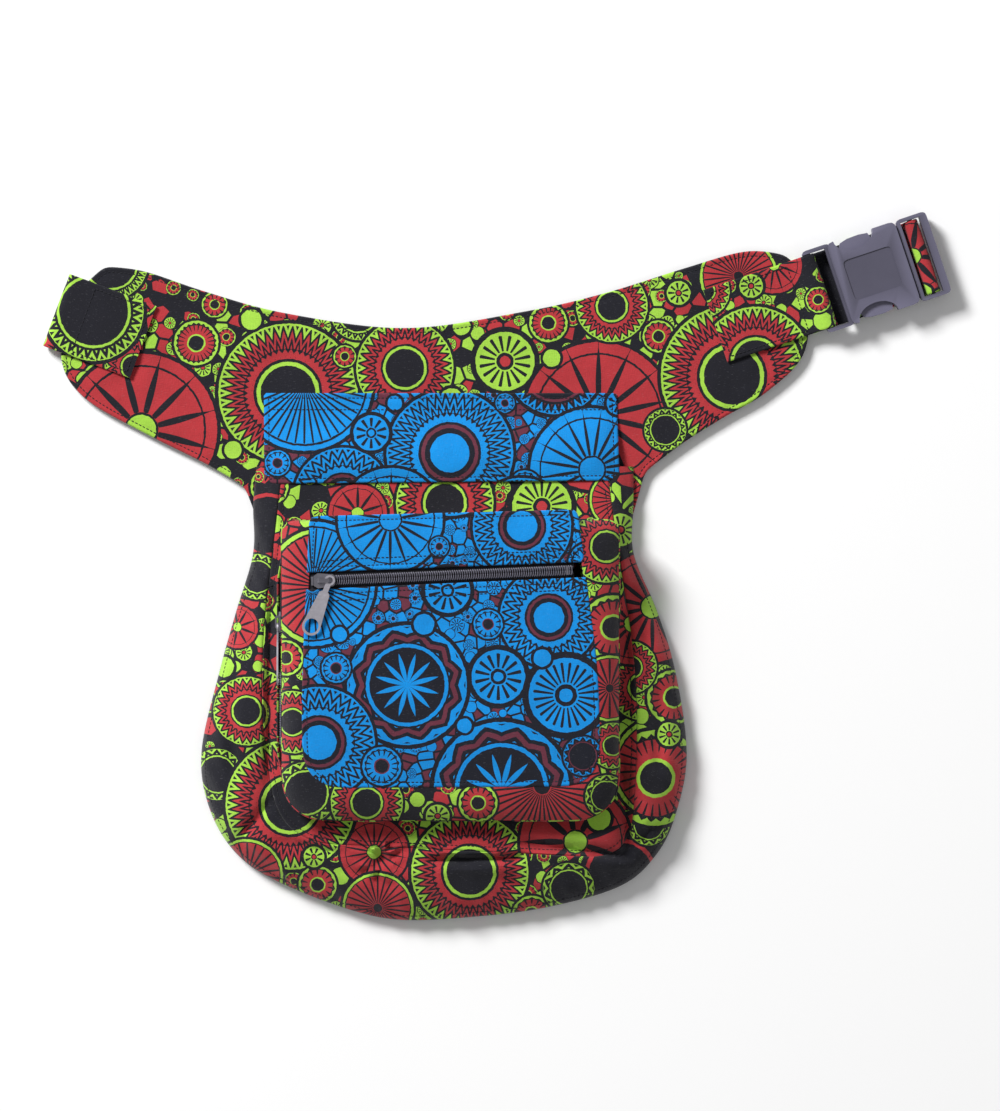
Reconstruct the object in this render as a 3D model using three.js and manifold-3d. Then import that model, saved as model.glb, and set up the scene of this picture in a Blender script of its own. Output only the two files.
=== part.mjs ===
// Waist pack lying on its back, millimetres: +X right and +Y up as seen from its front, +Z out of the front.
// The origin is on the back face of the pouch, on its centre line. A belt with two shaped wings carries a
// roomy pouch with a flap, a zipped patch pocket and a strap that closes with a side-release buckle.
import * as THREE from 'three';
import { mergeVertices } from 'three/addons/utils/BufferGeometryUtils.js';
import Module from 'manifold-3d';

const wasm = await Module();
wasm.setup();

// Driving dimensions
const CLOTH = 1.5; // one sewn cloth layer
const GAP = 0.3; // clearance between neighbouring pieces
const STRAP = 1.8; // strap thickness
const STRAP_WIDTH = 46;
const BELT_LIFT = STRAP + 2 * GAP; // the belt lies on the strap that runs behind it
const BELT_TOP = BELT_LIFT + 2 * CLOTH + GAP; // front of the belt
const POUCH_DEPTH = 24.3; // underside of the pouch's front panel
const MOUTH_Y = 140; // upper edge of the pouch's front panel
const MOUTH_DEPTH = 9.5; // underside of the front panel at the mouth
const SLOPE_Y = 60; // the front panel falls towards the mouth above this line
const REAR_POCKET_TOP = 37; // height of the patch pocket's rear compartment
const POCKET_TOP = 47; // height of the patch pocket's gusset
const FLAP_TOP_Y = 184; // sewn edge of the flap
const FLAP_LOW_Y = 130; // free edge of the flap
const WING_X = 128; // where the wings bend
const HINGE_HALF_GAP = 0.3;
const ZIP_TILT = THREE.MathUtils.degToRad(2.4);
const STRAP_TILT = THREE.MathUtils.degToRad(18.5); // right strap and buckle
const LEFT_TILT = THREE.MathUtils.degToRad(20.4); // left strap
const BUCKLE_ORIGIN = [235.9, 248.8]; // middle of the socket's inner edge
const BUCKLE_WIDTH = 51;
const BUCKLE_LENGTH = 43;
const BUCKLE_LOW = 2.4;
const BUCKLE_HIGH = 14.4;

const cloth = { roughness: 0.9, metalness: 0 };
const materials = {
  print: { color: 0xbe373c, ...cloth },
  bluePrint: { color: 0x039eed, ...cloth },
  lining: { color: 0x24242d, ...cloth },
  strap: { color: 0xbe373c, ...cloth },
  tape: { color: 0x191722, ...cloth },
  coil: { color: 0x191722, roughness: 0.5, metalness: 0 },
  sliderMetal: { color: 0x686675, roughness: 0.35, metalness: 1 },
  pullMetal: { color: 0xccc7db, roughness: 0.3, metalness: 1 },
  plastic: { color: 0x6b687d, roughness: 0.45, metalness: 0 },
};

// Solids

function solidOf(geometry) {
  const bare = geometry.clone();
  bare.deleteAttribute('normal');
  bare.deleteAttribute('uv');
  const merged = mergeVertices(bare, 1e-4);
  return new wasm.Manifold(new wasm.Mesh({
    numProp: 3,
    vertProperties: merged.attributes.position.array,
    triVerts: new Uint32Array(merged.index.array),
  }));
}

function geometryOf(solid) {
  const mesh = solid.getMesh();
  const geometry = new THREE.BufferGeometry();
  geometry.setAttribute('position', new THREE.BufferAttribute(new Float32Array(mesh.vertProperties), 3));
  geometry.setIndex(new THREE.BufferAttribute(new Uint32Array(mesh.triVerts), 1));
  geometry.computeVertexNormals();
  return geometry;
}

// A shape in the XY plane, raised from low to high.
function prism(shape, low, high, curveSegments = 3) {
  const depth = high - low;
  const geometry = new THREE.ExtrudeGeometry(shape, { depth, bevelEnabled: false, curveSegments });
  geometry.translate(0, 0, low);
  return solidOf(geometry);
}

// A (y, z) section drawn out along X.
function lengthwise(section, low, high) {
  const depth = high - low;
  const geometry = new THREE.ExtrudeGeometry(new THREE.Shape(section), { depth, bevelEnabled: false });
  geometry.translate(0, 0, low);
  const yToZ = new THREE.Matrix4().makeBasis(
    new THREE.Vector3(0, 1, 0), new THREE.Vector3(0, 0, 1), new THREE.Vector3(1, 0, 0));
  geometry.applyMatrix4(yToZ);
  return solidOf(geometry);
}

// An (x, z) section drawn out along Y.
function crosswise(section, low, high) {
  const depth = high - low;
  const geometry = new THREE.ExtrudeGeometry(new THREE.Shape(section), { depth, bevelEnabled: false });
  geometry.rotateX(Math.PI / 2);
  geometry.translate(0, high, 0);
  return solidOf(geometry);
}

// A solid turned about Z and moved to a place.
function turned(solid, angle, [x, y]) {
  const geometry = geometryOf(solid);
  geometry.rotateZ(angle);
  geometry.translate(x, y, 0);
  return solidOf(geometry);
}

const vectors = (pairs) => pairs.map(([x, y]) => new THREE.Vector2(x, y));

// The outline of a strip of even thickness along a bent centre line, with mitred corners.
function strip(centreLine, thickness) {
  const points = vectors(centreLine);
  const side = (sign) => points.map((point, i) => {
    const before = points[Math.max(i - 1, 0)];
    const after = points[Math.min(i + 1, points.length - 1)];
    const into = point.clone().sub(before).normalize();
    const out = after.clone().sub(point).normalize();
    const along = into.clone().add(out).normalize();
    const whole = into.lengthSq() && out.lengthSq() ? along.dot(into) : 1;
    const reach = sign * thickness / 2 / whole;
    return new THREE.Vector2(point.x - along.y * reach, point.y + along.x * reach);
  });
  return [...side(-1), ...side(1).reverse()];
}

const boxSolid = (x0, x1, y0, y1, z0, z1) => {
  const geometry = new THREE.BoxGeometry(x1 - x0, y1 - y0, z1 - z0);
  geometry.translate((x0 + x1) / 2, (y0 + y1) / 2, (z0 + z1) / 2);
  return solidOf(geometry);
};

function piece(name, material, solid) {
  const mesh = new THREE.Mesh(geometryOf(solid), new THREE.MeshStandardMaterial(materials[material]));
  mesh.name = name;
  return mesh;
}

// Outlines

const BELT_TOP_EDGE = [[-204, 260], [-180, 257], [-144, 245], [-96, 232], [-24, 223], [48, 233],
  [96, 244], [144, 259], [180, 269], [204, 267]];
const RIGHT_WING_EDGE = [[211, 260], [217.5, 238], [215, 207], [192, 184], [168, 170], [144, 155],
  [120, 137]];
const POUCH_RIGHT = [[113, 116], [113, 88], [127, 54], [138, 18], [145, -30], [140, -63], [128, -91],
  [102, -113], [40, -128]];
const POUCH_LEFT = [[-20, -132], [-56, -126], [-102, -108], [-127, -90], [-142, -63], [-146, -30],
  [-135, 18], [-125, 54], [-115, 88], [-115, 116]];
const LEFT_WING_EDGE = [[-120, 128], [-144, 142], [-180, 160], [-216, 181], [-230, 204], [-226, 240]];

const shapeThrough = (...runs) => {
  const shape = new THREE.Shape();
  shape.moveTo(...runs[0][0]);
  runs.forEach((run, i) => shape.splineThru(vectors(i ? run : run.slice(1))));
  return shape;
};

// The cut of the whole belt and pouch back.
const silhouette = shapeThrough(BELT_TOP_EDGE, RIGHT_WING_EDGE, POUCH_RIGHT, POUCH_LEFT, LEFT_WING_EDGE);

// The pouch's cut, which stops at its mouth, drawn in by an even margin.
function pouchOutline(margin) {
  const centre = new THREE.Vector2(0, 0);
  const inward = ([x, y]) => {
    const point = new THREE.Vector2(x, y);
    const reach = centre.distanceTo(point);
    return point.multiplyScalar((reach - margin) / reach).toArray();
  };
  const top = [[-113 + margin, MOUTH_Y + 20], [113 - margin, MOUTH_Y + 20]];
  return shapeThrough(top, POUCH_RIGHT.map(inward), POUCH_LEFT.map(inward));
}

// The patch pocket's cut: nearly straight sides and rounded lower corners.
function pocketOutline(margin) {
  const left = -97 + margin;
  const right = 104 - margin;
  const low = -71 + margin;
  const high = 108 - margin;
  const corner = 30 - margin;
  const upper = 8 - margin / 2;
  const shape = new THREE.Shape();
  shape.moveTo(left, high - upper);
  shape.lineTo(left, low + corner);
  shape.quadraticCurveTo(left, low, left + corner, low);
  shape.lineTo(right - corner, low);
  shape.quadraticCurveTo(right, low, right, low + corner);
  shape.lineTo(right, high - upper);
  shape.quadraticCurveTo(right, high, right - upper, high);
  shape.lineTo(left + upper, high);
  shape.quadraticCurveTo(left, high, left, high - upper);
  return shape;
}

// The pocket's face: its top leans with the zip.
function faceOutline(margin) {
  const left = -84 + margin;
  const right = 92 - margin;
  const low = -51 + margin;
  const shape = new THREE.Shape();
  shape.moveTo(-80 + margin, 110 - margin);
  shape.lineTo(left, 10);
  shape.lineTo(left, -24);
  shape.quadraticCurveTo(left, low, left + 26, low);
  shape.lineTo(right - 22, low);
  shape.quadraticCurveTo(right, low, right, -18);
  shape.lineTo(right, 12);
  shape.lineTo(79 - margin, 114 - margin);
  shape.lineTo(-80 + margin, 110 - margin);
  return shape;
}

// Belt and pouch

const WIDE = 400;
const DEEP = 80;
const NECK_Y = 112; // the pouch lies below this line and the wings above it
const wholeCut = prism(silhouette, -1, DEEP);
const middleClip = boxSolid(-WING_X + HINGE_HALF_GAP, WING_X - HINGE_HALF_GAP, -WIDE, WIDE, -1, DEEP);
const leftClip = boxSolid(-WIDE, -WING_X - HINGE_HALF_GAP, NECK_Y, WIDE, -1, DEEP);
const rightClip = boxSolid(WING_X + HINGE_HALF_GAP, WIDE, NECK_Y, WIDE, -1, DEEP);
const pouchClip = boxSolid(-WIDE, WIDE, -WIDE, NECK_Y, -1, DEEP);

const POUCH_BACK_TOP = 118; // the back lifts onto the strap above this line
const BACK_LIFT_END = 128;
const half = CLOTH / 2;

function backPanel() {
  const section = strip([[-150, half], [POUCH_BACK_TOP, half], [BACK_LIFT_END, BELT_LIFT + half],
    [290, BELT_LIFT + half]], CLOTH);
  const cut = wholeCut.intersect(middleClip.add(pouchClip));
  return piece('back_panel', 'lining', cut.intersect(lengthwise(section, -WIDE, WIDE)));
}

function beltOuterPanel() {
  const lowEdge = MOUTH_Y + 6;
  const slab = boxSolid(-WIDE, WIDE, lowEdge, WIDE, BELT_TOP - CLOTH, BELT_TOP);
  return piece('belt_outer_panel', 'print', wholeCut.intersect(middleClip).intersect(slab));
}

function wing(name, clip) {
  const sheet = wholeCut.intersect(clip);
  const lining = boxSolid(-WIDE, WIDE, -WIDE, WIDE, BELT_LIFT, BELT_LIFT + CLOTH);
  const outer = boxSolid(-WIDE, WIDE, -WIDE, WIDE, BELT_TOP - CLOTH, BELT_TOP);
  return [
    piece(`${name}_wing_lining`, 'lining', sheet.intersect(lining)),
    piece(`${name}_wing_outer`, 'print', sheet.intersect(outer)),
  ];
}

// Height of the middle of the front panel's cloth at a given y above the slope line.
const panelFall = (POUCH_DEPTH - MOUTH_DEPTH) / (MOUTH_Y - SLOPE_Y);
const panelHeight = (y) => POUCH_DEPTH + half - panelFall * Math.max(y - SLOPE_Y, 0);

function pouchGusset() {
  const floor = CLOTH + GAP;
  const section = vectors([[-150, floor], [POUCH_BACK_TOP, floor], [BACK_LIFT_END, BELT_LIFT + floor],
    [MOUTH_Y, BELT_LIFT + floor], [MOUTH_Y, MOUTH_DEPTH - GAP], [SLOPE_Y, POUCH_DEPTH - GAP],
    [-150, POUCH_DEPTH - GAP]]);
  const wall = prism(pouchOutline(0), -1, DEEP).subtract(prism(pouchOutline(2 * CLOTH), -2, DEEP + 1));
  return piece('pouch_gusset', 'print', wall.intersect(lengthwise(section, -WIDE, WIDE)));
}

function pouchFrontPanel() {
  const section = strip([[-150, panelHeight(0)], [SLOPE_Y, panelHeight(SLOPE_Y)],
    [MOUTH_Y, panelHeight(MOUTH_Y)]], CLOTH);
  const cut = prism(pouchOutline(0), -1, DEEP);
  return piece('pouch_front_panel', 'print', cut.intersect(lengthwise(section, -WIDE, WIDE)));
}

const FLAP_LEFT = -108;
const FLAP_RIGHT = 103;
const TAPE_HALF_LENGTH = 60;
const TAPE = 0.8; // thickness of each half of the hook-and-loop closure
const LOOP_RISE = half + GAP + TAPE / 2 + 0.1; // from the middle of the panel to the middle of the loop tape
const HOOK_RISE = LOOP_RISE + TAPE + 0.4;
const FLAP_RISE = HOOK_RISE + TAPE / 2 + GAP + half + 0.1;

function closureTape(name, rise) {
  const section = strip([[131, panelHeight(131) + rise], [139, panelHeight(139) + rise]], TAPE);
  return piece(name, 'lining', lengthwise(section, -TAPE_HALF_LENGTH, TAPE_HALF_LENGTH));
}

function flapPanel() {
  const sewnHeight = BELT_TOP + GAP + half;
  const section = strip([[FLAP_LOW_Y, panelHeight(FLAP_LOW_Y) + FLAP_RISE],
    [MOUTH_Y + 1, panelHeight(MOUTH_Y + 1) + FLAP_RISE], [FLAP_TOP_Y - 10, sewnHeight],
    [FLAP_TOP_Y, sewnHeight]], CLOTH);
  return piece('flap', 'bluePrint', lengthwise(section, FLAP_LEFT, FLAP_RIGHT));
}

function mouthBinding() {
  const low = MOUTH_DEPTH;
  return piece('mouth_binding', 'lining', boxSolid(-104, 104, MOUTH_Y + 0.6, MOUTH_Y + 3.4, low, low + 2));
}

// Patch pocket

const SIDE_ZIP = new THREE.Vector3(-97 + CLOTH, 47, 31.6); // the closed slider, on the wall's inner face
const SIDE_ZIP_TOP_Y = 73;
const SIDE_ZIP_LOW_Y = -31;
const FRONT_ZIP = new THREE.Vector3(-71, 71.86, POCKET_TOP + GAP);
const FRONT_ZIP_GAP = 4; // half the width of the slot between the two face panels

function rearPocketGusset() {
  const floor = panelHeight(0) + half + GAP;
  const slopedFloor = panelHeight(120) + half + GAP + 0.1;
  const section = vectors([[-150, floor], [SLOPE_Y, floor], [120, slopedFloor], [120, REAR_POCKET_TOP],
    [-150, REAR_POCKET_TOP]]);
  const wall = prism(pocketOutline(0), -1, DEEP).subtract(prism(pocketOutline(CLOTH), -2, DEEP + 1));
  const slot = boxSolid(-100, -90, SIDE_ZIP_LOW_Y, SIDE_ZIP_TOP_Y, SIDE_ZIP.z - 3.4, SIDE_ZIP.z + 3.4);
  const gusset = wall.intersect(lengthwise(section, -WIDE, WIDE)).subtract(slot);
  return piece('rear_pocket_gusset', 'print', gusset);
}

function pocketDivider() {
  const low = REAR_POCKET_TOP + GAP;
  return piece('pocket_divider', 'lining', prism(pocketOutline(0), low, low + CLOTH));
}

function frontPocketGusset() {
  const low = REAR_POCKET_TOP + CLOTH + 2 * GAP;
  const wall = prism(faceOutline(0), low, POCKET_TOP);
  return piece('front_pocket_gusset', 'print', wall.subtract(prism(faceOutline(CLOTH), low - 1, DEEP)));
}

// One side of the slot that the front zip closes.
function facePanel(name, low, high) {
  const side = turned(boxSolid(-WIDE, WIDE, low, high, 0, DEEP), ZIP_TILT, FRONT_ZIP.toArray());
  const face = prism(faceOutline(0), FRONT_ZIP.z, FRONT_ZIP.z + CLOTH);
  return piece(name, 'bluePrint', face.intersect(side));
}

// Zips.  Each lies along its own +x from the closed slider at x = 0, with z = 0 under the coil.

const SLIDER_LENGTH = 12.5;
const SLIDER_WIDTH = 9;
const COIL_HEIGHT = 1.5;
const PULL_LENGTH = 34.8;
const PULL_WIDTH = 10.8;
const PULL_HOLE = [8.8, 8.4]; // along and across the tab
const PULL_PIVOT_X = 3.3;

function zip(prefix, sides, ends, start, chain, tapeWidth) {
  const group = new THREE.Group();
  const [first, second] = sides;
  const tapeGap = 1.2;
  const coilWidth = 2.85;
  const coilGap = 0.15;
  const tape = (name, y0, y1) => piece(`${prefix}_zip_tape_${name}`, 'tape',
    boxSolid(start, chain + 4, y0, y1, -1.2, -GAP));
  const coil = (name, y0, y1) => piece(`${prefix}_zip_coil_${name}`, 'coil',
    boxSolid(-2.7, chain, y0, y1, 0, COIL_HEIGHT));
  const stop = (name, x) => piece(`${prefix}_zip_stop_${name}`, 'sliderMetal',
    boxSolid(x, x + 1.4, -2.6, 2.6, 0, COIL_HEIGHT));
  group.add(tape(first, tapeGap, tapeWidth), tape(second, -tapeWidth, -tapeGap));
  group.add(coil(first, coilGap, coilGap + coilWidth), coil(second, -coilGap - coilWidth, -coilGap));
  group.add(stop(ends[0], -7.9), stop(ends[1], chain + GAP));
  return group;
}

function zipSlider(name) {
  const length = SLIDER_LENGTH / 2;
  const width = SLIDER_WIDTH / 2;
  const plateLow = COIL_HEIGHT + GAP;
  const plateHigh = plateLow + 1.2;
  const outline = (inset) => new THREE.Shape(vectors([[-length, -width + 1.5], [-length + 2.5, -width],
    [length - 1, -width + inset], [length, -width + inset + 1], [length, width - inset - 1],
    [length - 1, width - inset], [-length + 2.5, width], [-length, width - 1.5]]));
  const bail = crosswise(vectors([[-4, plateHigh - 0.1], [-2.6, plateHigh - 0.1], [-2.6, plateHigh + 1.5],
    [2.6, plateHigh + 1.5], [2.6, plateHigh - 0.1], [4, plateHigh - 0.1], [4, plateHigh + 1.4],
    [3, plateHigh + 2.3], [-3, plateHigh + 2.3], [-4, plateHigh + 1.4]]), -1.2, 1.2);
  const slider = prism(outline(1), plateLow, plateHigh)
    .add(prism(outline(1), -2.7, -1.5))
    .add(boxSolid(-5, -3.2, -0.8, 0.8, -2, plateLow + 0.5))
    .add(bail);
  return piece(name, 'sliderMetal', slider);
}

// A ring round the bail's leg, a narrow neck and a flat tab that widens to a round end with a large hole.
function zipPull(name, angle) {
  const low = COIL_HEIGHT + GAP + 1.2 + GAP;
  const wide = PULL_WIDTH / 2;
  const endX = PULL_LENGTH - wide;
  const ring = new THREE.Shape();
  ring.absarc(0, 0, 3.1, 0, 2 * Math.PI);
  const eye = new THREE.Shape();
  eye.absarc(0, 0, 1.8, 0, 2 * Math.PI);
  const tab = new THREE.Shape();
  tab.moveTo(2, -1.6);
  tab.lineTo(7, -1.6);
  tab.lineTo(8.5, -3.2);
  tab.lineTo(endX - 1, -wide);
  tab.absarc(endX, 0, wide, -Math.PI / 2, Math.PI / 2);
  tab.lineTo(endX - 1, wide);
  tab.lineTo(8.5, 3.2);
  tab.lineTo(7, 1.6);
  tab.lineTo(2, 1.6);
  const hole = new THREE.Shape();
  hole.absellipse(endX - 0.4, 0, PULL_HOLE[0] / 2, PULL_HOLE[1] / 2, 0, 2 * Math.PI);
  const solid = prism(ring, low, low + 1, 12)
    .add(prism(tab, low, low + 1, 8))
    .subtract(prism(eye, low - 1, low + 2, 12))
    .subtract(prism(hole, low - 1, low + 2, 12));
  const pull = piece(name, 'pullMetal', solid);
  pull.position.set(PULL_PIVOT_X, 0, 0);
  pull.rotation.z = angle;
  return pull;
}

function frontZip() {
  const group = zip('front', ['upper', 'lower'], ['left', 'right'], -7.4, 143, 9);
  const restAngle = THREE.MathUtils.degToRad(-112) - ZIP_TILT;
  group.add(zipSlider('front_zip_slider'), zipPull('front_zip_pull', restAngle));
  group.position.copy(FRONT_ZIP);
  group.rotation.z = ZIP_TILT;
  return group;
}

function sideZip() {
  const start = SIDE_ZIP.y - SIDE_ZIP_TOP_Y - 2;
  const chain = SIDE_ZIP.y - SIDE_ZIP_LOW_Y - 4;
  const group = zip('side', ['front', 'rear'], ['top', 'bottom'], start, chain, 4.5);
  group.add(zipSlider('side_zip_slider'), zipPull('side_zip_pull', 0));
  const turn = new THREE.Matrix4().makeBasis(
    new THREE.Vector3(0, -1, 0), new THREE.Vector3(0, 0, 1), new THREE.Vector3(-1, 0, 0));
  group.quaternion.setFromRotationMatrix(turn);
  group.position.copy(SIDE_ZIP);
  return group;
}

// Strap and buckle.  Their own frame has +x along the strap to the right.

const strapLow = STRAP / 2;
const strapOnBelt = BELT_TOP + GAP + STRAP / 2;
const LEFT_FOLD = [-233.2, 234];

// A bent strap: its section in (x, z), drawn across its width, then laid at an angle.
const bentStrap = (points, angle, place) => turned(
  crosswise(strip(points, STRAP), -STRAP_WIDTH / 2, STRAP_WIDTH / 2), angle, place);

function strapLeft() {
  const solid = bentStrap([[150, strapLow], [strapLow, strapLow], [strapLow, strapOnBelt],
    [56, strapOnBelt]], -LEFT_TILT, LEFT_FOLD);
  return piece('strap_left', 'strap', solid.intersect(leftClip));
}

function strapMiddle() {
  const fromLeft = bentStrap([[90, strapLow], [225, strapLow]], -LEFT_TILT, LEFT_FOLD);
  const fromRight = bentStrap([[-280, strapLow], [-90, strapLow]], STRAP_TILT, BUCKLE_ORIGIN);
  const both = fromLeft.add(fromRight).intersect(middleClip);
  return piece('strap_middle', 'strap', both);
}

function strapRight() {
  const solid = bentStrap([[-150, strapLow], [38, strapLow]], STRAP_TILT, BUCKLE_ORIGIN);
  return piece('strap_right', 'strap', solid.intersect(rightClip));
}

function wingPatchRight() {
  const over = 11.2;
  const under = 5.3;
  const solid = bentStrap([[-78, strapOnBelt], [-22, strapOnBelt], [-17, over], [-9.3, over],
    [-9.3, under], [-16.5, under]], STRAP_TILT, BUCKLE_ORIGIN);
  return piece('wing_patch_right', 'strap', solid);
}

const SOCKET_BAR = [-15.6, -10.6];
const FRAME_HALF = BUCKLE_WIDTH / 2;
const SLOT_HALF = STRAP_WIDTH / 2 + GAP;

function roundedPlate(x0, x1, y0, y1, radius) {
  const shape = new THREE.Shape();
  shape.moveTo(x0 + radius, y0);
  shape.lineTo(x1 - radius, y0);
  shape.quadraticCurveTo(x1, y0, x1, y0 + radius);
  shape.lineTo(x1, y1 - radius);
  shape.quadraticCurveTo(x1, y1, x1 - radius, y1);
  shape.lineTo(x0 + radius, y1);
  shape.quadraticCurveTo(x0, y1, x0, y1 - radius);
  shape.lineTo(x0, y0 + radius);
  shape.quadraticCurveTo(x0, y0, x0 + radius, y0);
  return shape;
}

function buckleSocket() {
  const body = prism(roundedPlate(0, BUCKLE_LENGTH, -FRAME_HALF, FRAME_HALF, 4), BUCKLE_LOW, BUCKLE_HIGH);
  const frame = prism(roundedPlate(SOCKET_BAR[0], 2, -FRAME_HALF, FRAME_HALF, 3), 5, 11.8);
  const window = (side) => {
    const shape = new THREE.Shape();
    shape.absellipse(16.7, side * FRAME_HALF, 12.3, 8.5, 0, 2 * Math.PI);
    return prism(shape, 0, 20, 12);
  };
  const solid = body.add(frame)
    .subtract(boxSolid(SOCKET_BAR[1], -1.6, -SLOT_HALF, SLOT_HALF, 0, 20))
    .subtract(boxSolid(-20, SOCKET_BAR[1], -SLOT_HALF, SLOT_HALF, 10, 20))
    .subtract(boxSolid(-20, SOCKET_BAR[1], -SLOT_HALF, SLOT_HALF, 0, 6.5))
    .subtract(boxSolid(3, BUCKLE_LENGTH + 1, -21, 21, 4.6, 12.2))
    .subtract(window(1))
    .subtract(window(-1))
    .subtract(prism(roundedPlate(6, 36, -12.5, 12.5, 3), BUCKLE_HIGH - 0.6, 20));
  return piece('buckle_socket', 'plastic', solid);
}

const PLUG_START = BUCKLE_LENGTH + 0.6;
const PLUG_END = 62.5;
const CENTRE_BAR = [50.7, 53.7];
const PRONG_LOW = 5;
const PRONG_HIGH = 11.8;

function bucklePlugFrame() {
  const slots = [[46.2, CENTRE_BAR[0]], [CENTRE_BAR[1], 58]];
  let solid = prism(roundedPlate(PLUG_START, PLUG_END, -FRAME_HALF, FRAME_HALF, 3), 4, 12.4);
  slots.forEach(([low, high]) => {
    solid = solid.subtract(boxSolid(low, high, -SLOT_HALF, SLOT_HALF, 0, 20));
  });
  solid = solid
    .subtract(boxSolid(...CENTRE_BAR, -SLOT_HALF, SLOT_HALF, 10, 20))
    .subtract(boxSolid(...CENTRE_BAR, -SLOT_HALF, SLOT_HALF, 0, 6))
    .add(boxSolid(10, PLUG_START + 1, -3.5, 3.5, 6.4, 10.4));
  return piece('buckle_plug_frame', 'plastic', solid);
}

// A springy arm whose bulged tip fills the socket's side window.
function buckleProng(name, side) {
  const outline = vectors([[43.3, 13.4], [43.3, 14.6], [42.2, 15.8], [30, 16.6], [27.4, 19], [25.6, 24],
    [20, 24.7], [13, 24.5], [8.2, 23.2], [6.7, 20.4], [6.7, 17], [9.5, 14.6], [20, 12.9], [42.2, 12.2]]);
  const points = outline.map((point) => new THREE.Vector2(point.x, side * point.y));
  if (side > 0) points.reverse();
  return piece(name, 'plastic', prism(new THREE.Shape(points), PRONG_LOW, PRONG_HIGH));
}

function strapSlideLoop() {
  const solid = crosswise(strip([[38.3, strapLow], [48.85, strapLow], [48.85, 11.2], [55.85, 11.2],
    [55.85, 1.4]], STRAP), -STRAP_WIDTH / 2, STRAP_WIDTH / 2);
  return piece('strap_slide_loop', 'strap', solid);
}

function buckle() {
  const group = new THREE.Group();
  group.add(buckleSocket(), bucklePlugFrame(), strapSlideLoop());
  group.add(buckleProng('buckle_prong_upper', 1), buckleProng('buckle_prong_lower', -1));
  group.position.set(...BUCKLE_ORIGIN, 0);
  group.rotation.z = STRAP_TILT;
  return group;
}

const waistPack = new THREE.Group();
waistPack.add(
  backPanel(), beltOuterPanel(), pouchGusset(), pouchFrontPanel(), mouthBinding(),
  closureTape('loop_tape', LOOP_RISE), closureTape('hook_tape', HOOK_RISE), flapPanel(),
  rearPocketGusset(), pocketDivider(), frontPocketGusset(),
  facePanel('pocket_face_upper', FRONT_ZIP_GAP, WIDE), facePanel('pocket_face_lower', -WIDE, -FRONT_ZIP_GAP),
  frontZip(), sideZip(), ...wing('left', leftClip), ...wing('right', rightClip),
  strapLeft(), strapMiddle(), strapRight(), wingPatchRight(), buckle(),
);

export default waistPack;
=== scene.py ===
import math

import bpy
import numpy as np
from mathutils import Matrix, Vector, geometry, noise


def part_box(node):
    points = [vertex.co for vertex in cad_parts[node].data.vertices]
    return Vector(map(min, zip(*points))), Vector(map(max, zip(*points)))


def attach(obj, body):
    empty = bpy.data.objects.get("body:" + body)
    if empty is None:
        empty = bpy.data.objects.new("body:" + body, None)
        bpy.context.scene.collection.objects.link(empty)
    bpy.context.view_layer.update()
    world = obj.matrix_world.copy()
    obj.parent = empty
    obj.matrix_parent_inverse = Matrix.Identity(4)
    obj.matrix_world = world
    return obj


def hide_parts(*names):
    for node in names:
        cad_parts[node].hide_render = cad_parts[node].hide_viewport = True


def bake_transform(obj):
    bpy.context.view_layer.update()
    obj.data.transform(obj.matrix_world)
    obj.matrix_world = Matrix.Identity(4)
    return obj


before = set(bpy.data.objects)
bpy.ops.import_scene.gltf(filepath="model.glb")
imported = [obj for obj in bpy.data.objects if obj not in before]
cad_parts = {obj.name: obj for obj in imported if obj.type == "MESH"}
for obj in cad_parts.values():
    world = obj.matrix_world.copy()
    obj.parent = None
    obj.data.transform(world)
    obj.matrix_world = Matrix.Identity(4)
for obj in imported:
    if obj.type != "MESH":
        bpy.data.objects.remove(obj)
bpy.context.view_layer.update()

MM = 0.001

# ---------------------------------------------------------------- places and sizes, in millimetres

STRAP_WIDTH = 46.0
STRAP_TILT = math.radians(18.5)  # right strap and buckle
LEFT_TILT = math.radians(20.4)  # left strap
BUCKLE_ORIGIN = (235.9, 248.8)
LEFT_FOLD = (-233.2, 234.0)
BELT_UNDER = 2.5
BELT_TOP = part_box("belt_outer_panel")[1][2] / MM
MOUTH_Y = 140.0
POUCH_TOP = 25.6
POCKET_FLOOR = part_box("rear_pocket_gusset")[0][2] / MM
REAR_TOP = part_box("rear_pocket_gusset")[1][2] / MM
FACE_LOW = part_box("pocket_face_lower")[0][2] / MM
FACE_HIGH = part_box("pocket_face_lower")[1][2] / MM
ZIP_TILT = math.radians(2.4)
FRONT_ZIP = (-71.0, 71.86)
SIDE_ZIP = (-95.5, 47.0, 31.6)
STITCH_INSET = 3.0
ZIP_LEAN = 3.2  # how far the lower side of the side zip stands out

FOLD_DEPTH = 1.4  # scales every fold of the pouch
FACE_ZIP_GAP = 4.2  # from the front zip's centre line to the cloth on each side
FINE_RINGS = (0.5, 1.1, 2.0, 3.0, 4.2)  # rows of points inside a rounded edge

BELT_TOP_EDGE = [(-204, 260), (-180, 257), (-144, 245), (-96, 232), (-24, 223), (48, 233),
                 (96, 244), (144, 259), (180, 269), (204, 267)]
RIGHT_WING_EDGE = [(211, 260), (217.5, 238), (215, 207), (192, 184), (168, 170), (144, 155), (120, 137)]
POUCH_RIGHT = [(113, 116), (113, 88), (127, 54), (138, 18), (145, -30), (140, -63), (128, -91),
               (102, -113), (40, -128)]
POUCH_LEFT = [(-20, -132), (-56, -126), (-102, -108), (-127, -90), (-142, -63), (-146, -30),
              (-135, 18), (-125, 54), (-115, 88), (-115, 116)]
LEFT_WING_EDGE = [(-120, 128), (-144, 142), (-180, 160), (-216, 181), (-230, 204), (-226, 240)]


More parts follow.
